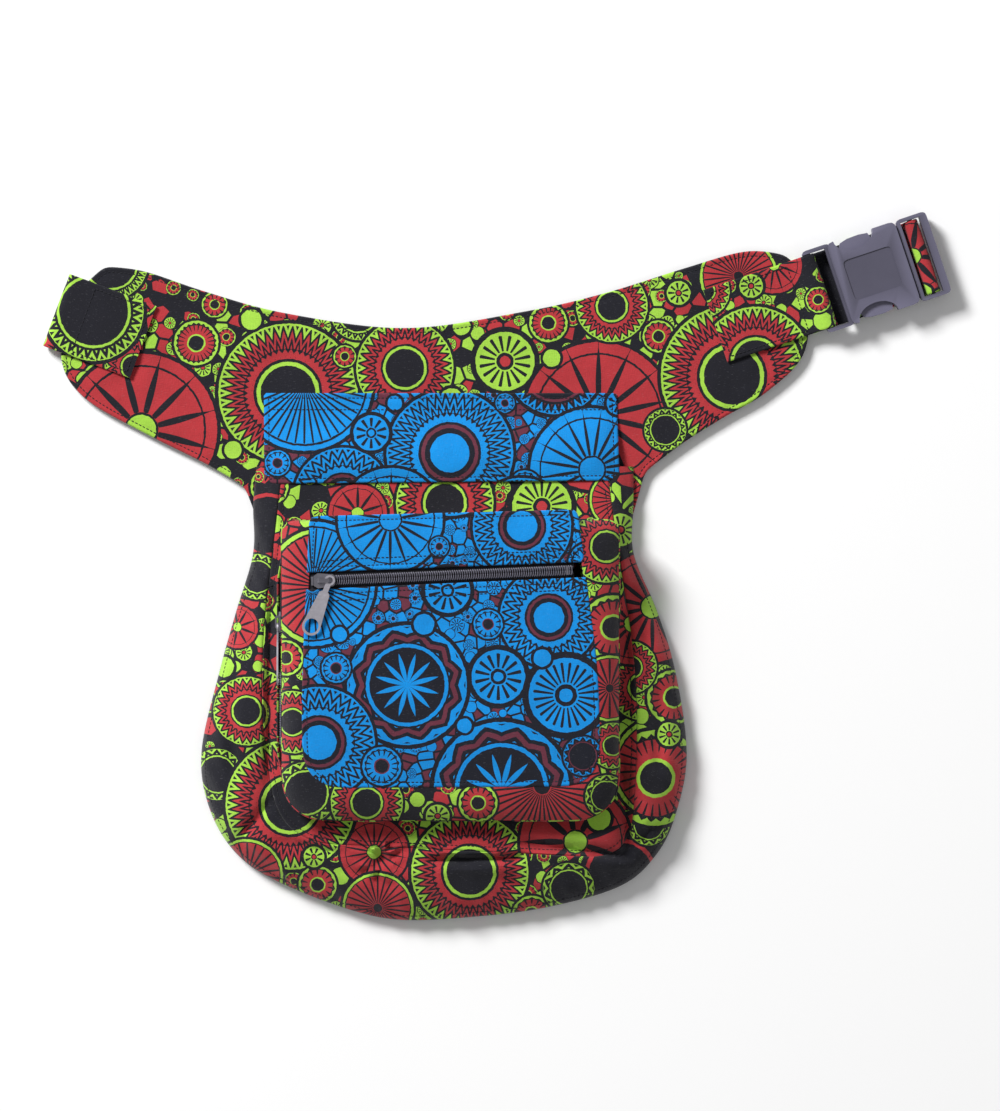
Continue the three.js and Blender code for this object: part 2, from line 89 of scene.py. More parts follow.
def resampled(points, step):
    """Points at an even step along a polyline."""
    points = np.array(points, float)
    lengths = np.r_[0, np.cumsum(np.linalg.norm(np.diff(points, axis=0), axis=1))]
    count = max(int(round(lengths[-1] / step)), 1)
    at = np.linspace(0, lengths[-1], count + 1)
    return np.stack([np.interp(at, lengths, points[:, k]) for k in range(points.shape[1])], axis=1)


def curve_through(points, step=2.5):
    """An even polyline along the Catmull-Rom curve through the points."""
    p = np.array(points, float)
    p = np.vstack([p[0], p, p[-1]])
    fine = []
    for i in range(1, len(p) - 2):
        t = np.linspace(0, 1, 12, endpoint=False)[:, None]
        a, b, c, d = p[i - 1], p[i], p[i + 1], p[i + 2]
        fine.append(0.5 * (2 * b + (c - a) * t + (2 * a - 5 * b + 4 * c - d) * t ** 2
                           + (3 * b - a - 3 * c + d) * t ** 3))
    fine.append(p[-1:])
    return resampled(np.vstack(fine), step)


def rounded(corners, radii, step=2.5):
    """A closed outline with rounded corners, at an even step."""
    fine = []
    count = len(corners)
    corners = [np.array(c, float) for c in corners]
    for i, corner in enumerate(corners):
        before = corners[i - 1] - corner
        after = corners[(i + 1) % count] - corner
        radius = radii[i]
        start = corner + before / np.linalg.norm(before) * radius
        end = corner + after / np.linalg.norm(after) * radius
        for t in np.linspace(0, 1, 9):
            fine.append((1 - t) ** 2 * start + 2 * t * (1 - t) * corner + t * t * end)
    fine.append(fine[0])
    return resampled(fine, step)[:-1]


def closed(outline):
    """An outline with its first point repeated at the end."""
    return np.vstack([outline, outline[:1]])


def to_segments(points, line):
    """The distance of each point from a polyline."""
    a, b = line[:-1, :2], line[1:, :2]
    along = b - a
    square = np.maximum((along ** 2).sum(1), 1e-9)
    nearest = np.full(len(points), 1e9)
    for start in range(0, len(points), 4000):
        p = points[start:start + 4000, None, :2]
        t = np.clip(((p - a) * along).sum(2) / square, 0, 1)
        gap = np.linalg.norm(p - a - t[..., None] * along, axis=2)
        nearest[start:start + 4000] = gap.min(1)
    return nearest


def inside(points, outline):
    """Which points lie inside a closed outline."""
    x, y = points[:, 0], points[:, 1]
    hit = np.zeros(len(points), bool)
    for (x0, y0), (x1, y1) in zip(outline, np.roll(outline, -1, axis=0)):
        if y0 != y1:
            hit ^= ((y0 > y) != (y1 > y)) & (x < (x1 - x0) * (y - y0) / (y1 - y0) + x0)
    return hit


def plan_normals(outline):
    """Outward directions along a closed outline."""
    before, after = np.roll(outline, 1, axis=0), np.roll(outline, -1, axis=0)
    along = after - before
    along /= np.maximum(np.linalg.norm(along, axis=1), 1e-9)[:, None]
    area = (before[:, 0] * outline[:, 1] - outline[:, 0] * before[:, 1]).sum()
    sign = 1 if area > 0 else -1
    return sign * np.column_stack([along[:, 1], -along[:, 0]])


def inset(outline, reach):
    """The closed outline moved inwards."""
    return outline - reach * plan_normals(outline)


def step_up(value, low, high):
    """0 below low, 1 above high, smooth between."""
    t = np.clip((value - low) / (high - low), 0, 1)
    return t * t * (3 - 2 * t)


def lumps(x, y, size, seed):
    """Smooth noise over the cloth, about -1 to 1."""
    at = np.stack([x / size, y / size, np.full_like(x, seed * 7.3)], axis=1)
    return np.array([noise.noise(Vector(p)) for p in at]) * 1.6


def fold(x, y, ends, width):
    """1 along a straight fold, fading off to its sides and its ends."""
    a, b = np.array(ends[0], float), np.array(ends[1], float)
    along = b - a
    t = ((x - a[0]) * along[0] + (y - a[1]) * along[1]) / (along @ along)
    side = ((x - a[0]) * -along[1] + (y - a[1]) * along[0]) / np.linalg.norm(along)
    return np.exp(-(side / width) ** 2) * step_up(t, -0.15, 0.2) * (1 - step_up(t, 0.8, 1.15))


# ---------------------------------------------------------------- mesh making

def finish_mesh(name, points, faces, cloth, body, materials, indices=None, sharp=50):
    """A mesh piece in metres with its cloth coordinates, in millimetres, as the attribute "cloth"."""
    mesh = bpy.data.meshes.new(name)
    mesh.from_pydata([tuple(p) for p in np.array(points) * MM], [], [tuple(int(i) for i in f) for f in faces])
    for material in materials:
        mesh.materials.append(material)
    if indices is not None:
        mesh.polygons.foreach_set("material_index", np.array(indices, np.int32))
    flat = np.zeros((len(points), 3), np.float32)
    flat[:, :2] = np.array(cloth)[:, :2]
    mesh.attributes.new("cloth", "FLOAT_VECTOR", "POINT").data.foreach_set("vector", flat.ravel())
    mesh.polygons.foreach_set("use_smooth", np.ones(len(mesh.polygons), bool))
    mesh.update()
    mesh.set_sharp_from_angle(angle=math.radians(sharp))
    piece = bpy.data.objects.new(name, mesh)
    bpy.context.scene.collection.objects.link(piece)
    if body:
        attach(piece, body)
    return piece


def layer(name, outline, top, under, body, materials, spacing, cloth=None, rings=(0.7, 1.8, 3.0, 4.2)):
    """A closed cloth body over an outline. top and under give heights from x and y."""
    outline = np.array(outline)
    points = [outline]
    edges = [(i, (i + 1) % len(outline)) for i in range(len(outline))]
    low, high = outline.min(0), outline.max(0)
    grid = []
    for row, y in enumerate(np.arange(low[1], high[1], spacing * 0.87)):
        for x in np.arange(low[0] + (row % 2) * spacing / 2, high[0], spacing):
            grid.append((x, y))
    candidates = [np.array(grid)]
    margins = [max(rings) + spacing * 0.5]
    for ring in rings:
        candidates.append(inset(outline, ring))
        margins.append(ring * 0.93)
    for group, margin in zip(candidates, margins):
        points.append(group[inside(group, outline) & (to_segments(group, closed(outline)) > margin)])
    flat = np.vstack(points)
    verts, _, tris, *_ = geometry.delaunay_2d_cdt([Vector(p) for p in flat], edges, [], 0, 1e-5)
    xy = np.array([(v.x, v.y) for v in verts])
    tris = np.array([t for t in tris if len(t) == 3])
    keep = inside(xy[tris].mean(1), outline)
    a, b, c = (xy[tris[:, k]] for k in range(3))
    area = (b[:, 0] - a[:, 0]) * (c[:, 1] - a[:, 1]) - (b[:, 1] - a[:, 1]) * (c[:, 0] - a[:, 0])
    keep &= np.abs(area) > 1e-6
    tris, area = tris[keep], area[keep]
    tris[area < 0] = tris[area < 0][:, ::-1]
    used = np.unique(tris)
    renumber = np.full(len(xy), -1)
    renumber[used] = np.arange(len(used))
    xy, tris = xy[used], renumber[tris]
    sides = {}
    for t in tris:
        for i, j in ((t[0], t[1]), (t[1], t[2]), (t[2], t[0])):
            sides[(i, j)] = True
    border = [(i, j) for (i, j) in sides if (j, i) not in sides]
    x, y = xy[:, 0], xy[:, 1]
    up = np.column_stack([xy, top(x, y)])
    down = np.column_stack([xy, under(x, y)])
    n = len(xy)
    faces = list(tris) + [t[::-1] + n for t in tris]
    indices = [0] * len(tris) + [len(materials) - 1] * len(tris)
    for i, j in border:
        faces += [(j, i, i + n), (j, i + n, j + n)]
        indices += [0, 0]
    where = cloth(x, y) if cloth else xy
    both = np.vstack([where, where])
    return finish_mesh(name, np.vstack([up, down]), faces, both, body, materials, indices)


def edge_round(distance, thickness):
    """How far a cloth edge falls from its face towards its middle."""
    reach = 1.6
    t = np.clip(distance / reach, 0, 1)
    return (thickness / 2 - 0.15) * (1 - np.sqrt(1 - (1 - t) ** 2))


def seam_dip(distance, depth=0.35):
    """The groove that a topstitch pulls into the cloth."""
    return depth * np.exp(-((distance - STITCH_INSET) / 1.1) ** 2)


def loft(name, rings, cloth, body, materials, closed_rings=True):
    """Faces between rings of points, the last of which joins the first."""
    count, across = len(rings), len(rings[0])
    faces = []
    for k in range(count):
        following = (k + 1) % count
        for i in range(across if closed_rings else across - 1):
            j = (i + 1) % across
            faces.append((k * across + i, k * across + j, following * across + j, following * across + i))
    if not closed_rings:
        faces.append([k * across for k in range(count)][::-1])
        faces.append([k * across + across - 1 for k in range(count)])
    return finish_mesh(name, np.vstack(rings), faces, np.vstack(cloth), body, materials)


def stitches(name, runs, body, material, pitch=2.5, length=2.0, radius=0.32):
    """Short lens-shaped stitches along paths of (x, y, z)."""
    points, faces = [], []
    for run in runs:
        path = resampled(run, pitch)
        for a, b in zip(path[:-1], path[1:]):
            along = (b - a) / max(np.linalg.norm(b - a), 1e-9)
            side = np.cross(along, (0, 0, 1))
            side /= max(np.linalg.norm(side), 1e-9)
            rise = np.cross(side, along)
            middle = (a + b) / 2
            base = len(points)
            points.append(middle - along * length / 2 - rise * radius * 0.6)
            for at in (-0.28, 0.28):
                for s, r in ((1, 0), (0, 1), (-1, 0), (0, -1)):
                    points.append(middle + along * at * length + side * s * radius + rise * r * radius)
            points.append(middle + along * length / 2 - rise * radius * 0.6)
            for k in range(4):
                after = (k + 1) % 4
                faces.append((base, base + 1 + k, base + 1 + after))
                faces.append((base + 1 + k, base + 5 + k, base + 5 + after, base + 1 + after))
                faces.append((base + 9, base + 5 + after, base + 5 + k))
    points = np.array(points)
    return finish_mesh(name, points, faces, points[:, :2], body, [material])


def along_height(line, height, lift=0.12):
    """A plan path laid on a height function."""
    return np.column_stack([line, height(line[:, 0], line[:, 1]) + lift])


def turned(points, angle, place):
    """Points turned about Z and moved to a place."""
    points = np.array(points, float)
    c, s = math.cos(angle), math.sin(angle)
    out = points.copy()
    out[:, 0] = c * points[:, 0] - s * points[:, 1] + place[0]
    out[:, 1] = s * points[:, 0] + c * points[:, 1] + place[1]
    return out


# ---------------------------------------------------------------- materials

class Net:
    """A material's nodes, built by formula."""

    def __init__(self, name):
        self.material = bpy.data.materials.new(name)
        self.material.use_nodes = True
        self.tree = self.material.node_tree
        self.shader = self.tree.nodes["Principled BSDF"]

    def node(self, kind, **settings):
        node = self.tree.nodes.new("ShaderNode" + kind)
        for key, value in settings.items():
            setattr(node, key, value)
        return node

    def put(self, value, socket):
        if isinstance(value, bpy.types.NodeSocket):
            self.tree.links.new(value, socket)
        else:
            socket.default_value = value

    def math(self, operation, *values, clamp=False):
        node = self.node("Math", operation=operation, use_clamp=clamp)
        for value, socket in zip(values, node.inputs):
            self.put(value, socket)
        return node.outputs[0]

    def vector(self, operation, *values):
        node = self.node("VectorMath", operation=operation)
        for value, socket in zip(values, node.inputs):
            self.put(value, socket)
        if operation == "SCALE":
            self.put(values[1], node.inputs["Scale"])
        return node.outputs["Value" if operation in ("DISTANCE", "LENGTH", "DOT_PRODUCT") else "Vector"]

    def mix(self, kind, factor, a, b, blend="MIX"):
        node = self.node("Mix", data_type=kind, blend_type=blend, clamp_factor=True)
        first = {"FLOAT": 2, "VECTOR": 4, "RGBA": 6}[kind]
        self.put(factor, node.inputs[0])
        self.put(a, node.inputs[first])
        self.put(b, node.inputs[first + 1])
        return node.outputs[{"FLOAT": 0, "VECTOR": 1, "RGBA": 2}[kind]]

    def ramp(self, factor, stops, interpolation="CONSTANT"):
        node = self.node("ValToRGB")
        node.color_ramp.interpolation = interpolation
        elements = node.color_ramp.elements
        while len(elements) < len(stops):
            elements.new(1.0)
        for element, (at, colour) in zip(elements, stops):
            element.position = at
            element.color = (*colour, 1)
        self.put(factor, node.inputs[0])
        return node.outputs[0]

    def noise(self, where, scale, detail=2.0, rough=0.5):
        node = self.node("TexNoise", noise_dimensions="3D")
        self.put(where, node.inputs["Vector"])
        node.inputs["Scale"].default_value = scale
        node.inputs["Detail"].default_value = detail
        node.inputs["Roughness"].default_value = rough
        return node.outputs[0]

    def cloth(self):
        return self.node("Attribute", attribute_name="cloth").outputs["Vector"]

    def bump(self, height, distance, strength=1.0):
        node = self.node("Bump")
        node.inputs["Strength"].default_value = strength
        node.inputs["Distance"].default_value = distance
        self.put(height, node.inputs["Height"])
        self.put(node.outputs[0], self.shader.inputs["Normal"])

    def set(self, **values):
        for key, value in values.items():
            self.put(value, self.shader.inputs[key.replace("_", " ")])
        return self


def linear(*srgb):
    """A linear colour from 0 to 255 sRGB values."""
    return tuple(((c / 255 + 0.055) / 1.055) ** 2.4 if c > 10 else c / 255 / 12.92 for c in srgb)


def shade_of(colour, amount):
    """A colour made darker or lighter, with alpha."""
    return (*[min(c * amount, 1) for c in colour], 1)


BLACK = linear(25, 25, 33)
RED = linear(176, 50, 56)
LIME = linear(158, 207, 70)
BLUE = linear(6, 136, 214)
MAROON = linear(100, 44, 60)
INK = linear(22, 24, 35)


def weave(net, where, colour, contrast=0.22, scale=2.2):
    """Threads: darker and lighter warp and weft, a cloudy dye and a little fuzz in the height."""
    warp = net.noise(net.vector("MULTIPLY", where, (scale, 0.16 * scale, 1)), 1.0, 1.0)
    weft = net.noise(net.vector("MULTIPLY", where, (0.16 * scale, scale, 1)), 1.0, 1.0)
    threads = net.math("ADD", warp, weft)
    cloud = net.noise(where, 0.045, 3.0)
    fade = net.math("ADD", net.math("MULTIPLY", threads, contrast), net.math("MULTIPLY", cloud, 0.5))
    fade = net.math("ADD", fade, 0.75 - contrast)
    shaded = net.vector("SCALE", colour, fade)
    slub = net.noise(net.vector("MULTIPLY", where, (0.35, 3.2, 1)), 1.0, 1.0)
    specks = net.math("GREATER_THAN", slub, 0.70)
    wear_and_highlight = net.mix("RGBA", net.math("MULTIPLY", specks, 0.10), shaded, (0.5, 0.5, 0.55, 1))
    net.put(wear_and_highlight, net.shader.inputs["Base Color"])
    rough = net.math("ADD", net.math("MULTIPLY", threads, 0.14), 0.74)
    net.set(Roughness=rough, Specular_IOR_Level=0.22, Sheen_Weight=0.18, Sheen_Roughness=0.5)
    fine = net.node("TexVoronoi", feature="F1", distance="CHEBYCHEV")
    net.put(where, fine.inputs["Vector"])
    fine.inputs["Scale"].default_value = 1.9
    fine.inputs["Randomness"].default_value = 0.25
    height = net.math("ADD", threads, net.math("MULTIPLY", fine.outputs[0], 0.7))
    net.bump(height, 0.00035, 0.55)


COG, RING, FAN, SUN, DOT, SPOKES, STAR, MOON, HOOP = range(9)
PUSH_SCALE = 8.0  # brings the small pushes into a colour ramp's range
OUTLINE = 0.9  # dark line round each motif, mm


def motif_types(field, main, accent, rim, core):
    """The motifs in the order of their numbers: bands of colour out from the centre, the share of each tooth
    that the ink takes and how far the teeth push the bands, all against the radius, and the ink's colour."""
    return [
        {"bands": [(0, core), (0.30, field), (0.38, accent), (0.435, field), (0.48, main), (0.585, field),
                   (0.68, main), (0.775, field), (0.865, rim), (0.965, field)],
         "push": [(0, 0), (0.50, 0.03), (0.62, 0.095), (0.94, 0)]},
        {"bands": [(0, field), (0.32, accent), (0.39, main), (0.76, field), (0.84, rim), (0.95, field)],
         "rays": [(0.50, 0), (0.55, 0.22), (0.75, 0.34), (0.77, 0)],
         "push": [(0, 0), (0.79, 0.04), (0.9, 0)]},
        {"bands": [(0, rim), (0.19, field), (0.22, main), (0.80, field), (0.825, main), (0.965, field)],
         "rays": [(0.22, 0), (0.23, 0.55), (0.6, 0.24), (0.9, 0.02)]},
        {"bands": [(0, field), (0.12, main), (0.87, field), (0.90, rim), (0.965, field)],
         "rays": [(0.13, 0), (0.14, 0.6), (0.86, 0.2), (0.87, 0)]},
        {"bands": [(0, rim), (0.86, field)]},
        {"bands": [(0, main), (0.16, field), (0.26, rim), (0.88, field)],
         "rays": [(0.30, 0), (0.31, 0.46), (0.76, 0.36), (0.78, 0)]},
        {"bands": [(0, field), (0.60, main), (0.66, field), (0.72, accent), (0.80, field), (0.86, rim),
                   (0.955, field)],
         "rays": [(0, 1), (0.10, 0.9), (0.52, 0)], "push": [(0, 0), (0.69, 0.05), (0.93, 0)], "ink": main},
        {"bands": [(0, field), (0.66, accent), (0.71, field), (0.85, rim), (0.955, field)],
         "push": [(0, 0), (0.76, 0.10), (0.94, 0)]},
        {"bands": [(0, field), (0.80, main), (0.90, field)]},
    ]


def draw_motif(net, motif, field, rho, tooth):
    """One motif's colours from the share of its radius and the place within a tooth."""
    drawn = rho
    if "push" in motif:
        push = net.ramp(rho, [(at, (amount * PUSH_SCALE,) * 3) for at, amount in motif["push"]])
        push = net.math("MULTIPLY", push, net.math("SUBTRACT", tooth, 0.5))
        drawn = net.math("ADD", rho, net.math("MULTIPLY", push, 2 / PUSH_SCALE))
    bands = net.ramp(drawn, motif["bands"])
    if "rays" in motif:
        rays = net.ramp(rho, [(at, (share,) * 3) for at, share in motif["rays"]], "LINEAR")
        inked = net.math("LESS_THAN", tooth, rays)
        bands = net.mix("RGBA", inked, bands, (*motif.get("ink", field), 1))
    return bands


def pebbles(net, where, scale, field, shades):
    """Small shapes with dark outlines that fill the room between the motifs."""
    cells = net.node("TexVoronoi", voronoi_dimensions="2D")
    edges = net.node("TexVoronoi", voronoi_dimensions="2D", feature="DISTANCE_TO_EDGE")
    for node in (cells, edges):
        net.put(where, node.inputs["Vector"])
        node.inputs["Scale"].default_value = 1 / scale
        node.inputs["Randomness"].default_value = 0.9
    pick = net.node("SeparateColor")
    net.put(cells.outputs["Color"], pick.inputs[0])
    shade = net.ramp(pick.outputs[0], shades)
    within = net.math("GREATER_THAN", edges.outputs["Distance"], 0.085)
    return net.mix("RGBA", within, (*field, 1), shade)


def print_cloth(name, colours, shades, motifs, filler_scale):
    """Printed cotton: round motifs over a scatter of small ones, each drawn from its centre and radius."""
    field, main, accent, rim, core = colours
    net = Net(name)
    where = net.cloth()
    scatter = net.node("TexVoronoi", voronoi_dimensions="2D")
    net.put(where, scatter.inputs["Vector"])
    scatter.inputs["Scale"].default_value = 1 / filler_scale
    scatter.inputs["Randomness"].default_value = 0.75
    chance = net.node("SeparateColor")
    net.put(scatter.outputs["Color"], chance.inputs[0])
    spread = net.math("MULTIPLY", chance.outputs[0], filler_scale * 0.26)
    radius = net.math("ADD", spread, filler_scale * 0.19)
    kind = net.mix("FLOAT", net.math("GREATER_THAN", chance.outputs[2], 0.55), float(RING), float(DOT))
    kind = net.mix("FLOAT", net.math("LESS_THAN", chance.outputs[1], 0.35), kind, float(SPOKES))
    shape = net.node("CombineXYZ")
    for value, socket in zip((radius, kind, 11.0), shape.inputs):
        net.put(value, socket)
    centre, shape, placed = scatter.outputs["Position"], shape.outputs[0], 0.0
    for x, y, r, motif, teeth in motifs:
        gap = net.vector("DISTANCE", where, (x, y, 0))
        hit = net.math("LESS_THAN", gap, r + OUTLINE)
        centre = net.mix("VECTOR", hit, centre, (x, y, 0))
        shape = net.mix("VECTOR", hit, shape, (r, motif, teeth))
        placed = net.math("MAXIMUM", hit, placed)
    parts = net.node("SeparateXYZ")
    net.put(shape, parts.inputs[0])
    radius, kind, teeth = parts.outputs
    wobble = net.noise(where, 0.35, 1.0)
    offset = net.node("SeparateXYZ")
    net.put(net.vector("SUBTRACT", where, centre), offset.inputs[0])
    rho = net.math("DIVIDE", net.vector("DISTANCE", where, centre), radius)
    rho = net.math("ADD", rho, net.math("DIVIDE", net.math("SUBTRACT", wobble, 0.5), radius))
    turn = net.math("ARCTAN2", offset.outputs[1], offset.outputs[0])
    turn = net.math("ADD", net.math("DIVIDE", turn, 2 * math.pi), 1.0)
    tooth = net.math("FRACT", net.math("MULTIPLY", turn, teeth))
    tooth = net.math("MULTIPLY", net.math("ABSOLUTE", net.math("SUBTRACT", tooth, 0.5)), 2.0)
    colour = (*field, 1)
    for number, motif in enumerate(motif_types(*colours)):
        chosen = net.math("COMPARE", kind, float(number), 0.3)
        colour = net.mix("RGBA", chosen, colour, draw_motif(net, motif, field, rho, tooth))
    ground = pebbles(net, where, filler_scale * 0.62, field, shades)
    ground = net.mix("RGBA", placed, ground, (*field, 1))
    colour = net.mix("RGBA", net.math("GREATER_THAN", rho, 1.0), colour, ground)
    weave(net, where, colour)
    return net.material


def plain_cloth(name, colour, scale=2.2):
    """Cloth of one dye, uneven as dyed cotton is."""
    net = Net(name)
    where = net.cloth()
    dyed = net.mix("RGBA", net.noise(where, 0.2), shade_of(colour, 0.8), shade_of(colour, 1.25))
    weave(net, where, dyed, 0.3, scale)
    return net.material


def moulded_plastic(name, colour):
    """Grained acetal: a fine texture, faint flow marks and a painted highlight along its sharp edges."""
    net = Net(name)
    where = net.node("TexCoord").outputs["Object"]
    flow = net.noise(where, 35.0, 4.0)
    grain = net.noise(where, 2600.0, 2.0)
    edge = net.node("NewGeometry").outputs["Pointiness"]
    # painted highlight: sharp convex edges are lightened towards 2.6 times the colour
    edge_highlight = net.math("MULTIPLY", net.math("SUBTRACT", edge, 0.52), 6.0, clamp=True)
    base = net.mix("RGBA", flow, shade_of(colour, 0.85), shade_of(colour, 1.3))
    wear_and_highlight = net.mix("RGBA", edge_highlight, base, shade_of(colour, 2.6))
    net.put(wear_and_highlight, net.shader.inputs["Base Color"])
    net.set(Roughness=net.math("ADD", net.math("MULTIPLY", grain, 0.2), 0.3), Specular_IOR_Level=0.5)
    net.bump(net.math("ADD", grain, flow), 0.00016, 0.6)
    return net.material


def zip_metal(name, colour, rough):
    """Cast and plated zinc: a cloudy plating with fine pits and scratches."""
    net = Net(name)
    where = net.node("TexCoord").outputs["Object"]
    cloud = net.noise(where, 260.0, 3.0)
    scratch = net.noise(net.vector("MULTIPLY", where, (300, 4200, 900)), 1.0, 2.0)
    base = net.mix("RGBA", cloud, shade_of(colour, 0.7), shade_of(colour, 1.15))
    net.put(base, net.shader.inputs["Base Color"])
    roughness = net.math("ADD", net.math("MULTIPLY", scratch, 0.2), rough)
    net.set(Metallic=1.0, Roughness=roughness)
    net.bump(net.math("ADD", cloud, net.math("MULTIPLY", scratch, 0.4)), 0.00012, 0.6)
    return net.material


def coil_nylon(name):
    """Black nylon with painted glints: a noise lifts its colour from near black towards a light grey that
    stands in for highlights.
    """
    net = Net(name)
    where = net.cloth()
    glint_noise = net.noise(where, 3.0, 2.0)
    # painted highlight: the light grey end of this mix stands in for glints on the coil's teeth
    base = net.mix("RGBA", glint_noise, (*linear(38, 37, 45), 1), (*linear(132, 130, 146), 1))
    net.put(base, net.shader.inputs["Base Color"])
    net.set(Roughness=net.math("ADD", net.math("MULTIPLY", glint_noise, 0.15), 0.25), Specular_IOR_Level=0.7)
    net.bump(glint_noise, 0.00005, 0.4)
    return net.material


RED_MOTIFS = [
    # belt
    (-182, 162, 47, FAN, 12), (-200, 262, 23, MOON, 40), (-149, 214, 14, RING, 24), (-138, 237, 8, RING, 12),
    (-94, 184, 43, COG, 44), (-127, 150, 6, DOT, 1), (-52, 232, 17, MOON, 24), (-24, 199, 30, COG, 30),
    (-116, 228, 7, DOT, 1), (36, 203, 20, SPOKES, 16), (10, 224, 6, DOT, 1), (62, 226, 12, RING, 20),
    (92, 170, 46, FAN, 14), (64, 205, 6, DOT, 1), (100, 236, 22, COG, 26), (128, 218, 10, RING, 14),
    (172, 194, 44, COG, 46), (132, 162, 13, MOON, 16), (140, 244, 8, SPOKES, 9), (176, 254, 24, SUN, 30),
    (206, 236, 12, RING, 18), (-213, 214, 11, SPOKES, 12), (-60, 206, 7, RING, 10), (4, 180, 8, DOT, 1),
    # pouch panel
    (-42, -90, 21, FAN, 18), (15, -102, 36, COG, 38), (-78, -93, 7, SPOKES, 8), (78, -84, 34, FAN, 9),
    (-105, 128, 12, RING, 16), (-125, 98, 19, SPOKES, 18), (104, 120, 18, SUN, 26), (-132, 40, 26, SUN, 30),
    (-118, -8, 30, COG, 34), (-138, -38, 8, DOT, 1), (-92, -62, 40, COG, 42), (-136, -82, 14, RING, 18),
    (92, -70, 8, DOT, 1), (121, -84, 13, SPOKES, 12), (131, -40, 32, SUN, 30), (118, 8, 20, COG, 24),
    (138, 14, 9, DOT, 1), (112, 46, 25, FAN, 12), (96, 70, 12, RING, 14), (0, 118, 30, COG, 30),
    (-52, 112, 18, FAN, 10), (58, 116, 20, SPOKES, 18),
    # pouch sides, 600 mm to the left in the cloth
    (-706, 105, 21, HOOP, 1), (-712, 74, 14, MOON, 14), (-724, 44, 13, FAN, 9), (-732, 20, 7, DOT, 1),
    (-741, 2, 10, RING, 14), (-718, -6, 21, COG, 24), (-736, -44, 16, MOON, 14), (-692, -62, 40, COG, 42),
    (-718, -104, 22, SUN, 22), (-676, -110, 12, RING, 14), (-642, -90, 21, FAN, 18),
    (-640, -124, 22, SUN, 26), (-585, -102, 36, COG, 38), (-678, -93, 7, SPOKES, 8),
    (-548, -128, 12, RING, 14), (-495, -104, 24, HOOP, 1),
    (-526, -112, 16, MOON, 10), (-478, -74, 13, MOON, 12), (-474, -46, 30, RING, 28), (-463, 2, 17, RING, 18),
    (-466, -20, 8, SPOKES, 10), (-476, 56, 34, FAN, 14), (-495, 102, 11, SPOKES, 12), (-489, 20, 16, COG, 20),
    # pocket's border, 1200 mm to the left
    (-1272, 68, 36, SUN, 34), (-1294, 26, 11, RING, 14), (-1290, -12, 19, COG, 22),
    (-1282, -54, 19, MOON, 14),
    (-1246, -60, 22, COG, 24), (-1216, -58, 5, DOT, 1), (-1204, -68, 8, SPOKES, 9), (-1142, -50, 40, SUN, 40),
    (-1180, -60, 12, RING, 14), (-1104, -56, 13, MOON, 10), (-1104, 92, 22, COG, 24),
    (-1100, 44, 20, RING, 20),
    (-1102, 8, 20, SUN, 18), (-1100, -26, 14, COG, 16), (-1240, 104, 18, FAN, 10), (-1180, 108, 22, COG, 24),
    # left strap
    (640, -16, 18, COG, 20), (700, -20, 14, RING, 18), (655, 26, 16, SUN, 20), (674, 7, 31, MOON, 30),
    # right patch
    (690, 622, 16, COG, 20), (735, 624, 18, FAN, 14), (706, 572, 34, COG, 36), (718, 616, 8, SPOKES, 10),
    (754, 595.3, 8, RING, 14), (771, 613, 11, MOON, 14), (768, 580, 10, COG, 14),
    # strap in the buckle; the first moon's black middle lies under the gap by the buckle's bar and keeps that
    # strip dark
    (653, 400, 38, MOON, 24), (717, 402, 24, FAN, 8), (716, 379, 6, DOT, 1),
]
BLUE_MOTIFS = [
    # flap
    (-84, 190, 42, SUN, 42), (-61, 122, 30, COG, 26), (3, 148, 39, COG, 40), (-44, 160, 12, SPOKES, 10),
    (66, 200, 30, MOON, 36), (88, 138, 38, FAN, 20), (48, 128, 10, RING, 14), (-30, 178, 5, DOT, 1),
    (36, 178, 6, RING, 10), (104, 178, 8, SPOKES, 8), (-100, 142, 8, RING, 12), (-24, 128, 5, DOT, 1),
    # pocket
    (-78, 70, 38, SUN, 44), (-32, 108, 32, FAN, 18), (2, 66, 15, SPOKES, 12), (46, 104, 30, COG, 30),
    (62, 50, 30, COG, 28), (-22, 10, 37, STAR, 12), (26, 46, 9, RING, 12), (32, 15, 18, SPOKES, 14),
    (72, 4, 25, SPOKES, 24), (-74, -24, 34, COG, 30), (-64, 20, 9, RING, 14), (-37, -38, 12, RING, 16),
    (34, -52, 42, STAR, 12), (82, -32, 12, MOON, 14), (-12, 46, 7, DOT, 1), (12, -14, 5, DOT, 1),
    (58, 26, 6, DOT, 1), (86, 82, 13, RING, 16), (-3, 92, 6, RING, 10), (-62, 40, 5, DOT, 1),
]

red_print = print_cloth("red_print", (BLACK, RED, LIME, LIME, BLACK),
                        [(0, BLACK), (0.45, RED), (0.8, LIME)], RED_MOTIFS, 14.0)
blue_print = print_cloth("blue_print", (INK, BLUE, MAROON, BLUE, BLUE),
                         [(0, BLUE), (0.62, MAROON)], BLUE_MOTIFS, 11.0)
lining = plain_cloth("black_lining", linear(34, 34, 42))
zip_tape = plain_cloth("zip_tape", linear(22, 21, 28), 3.0)
thread = plain_cloth("black_thread", linear(26, 25, 34), 5.0)
plastic = moulded_plastic("grey_acetal", linear(78, 76, 92))
slider_metal = zip_metal("slider_nickel", linear(150, 148, 158), 0.26)
pull_metal = zip_metal("pull_nickel", linear(216, 212, 222), 0.30)
coil = coil_nylon("zip_nylon")


# ---------------------------------------------------------------- belt

def smoothed(points, rounds=2):
    """A polyline with its kinks eased and its ends kept."""
    points = np.array(points, float)
    for _ in range(rounds):
        points[1:-1] = (points[:-2] + 2 * points[1:-1] + points[2:]) / 4
    return points


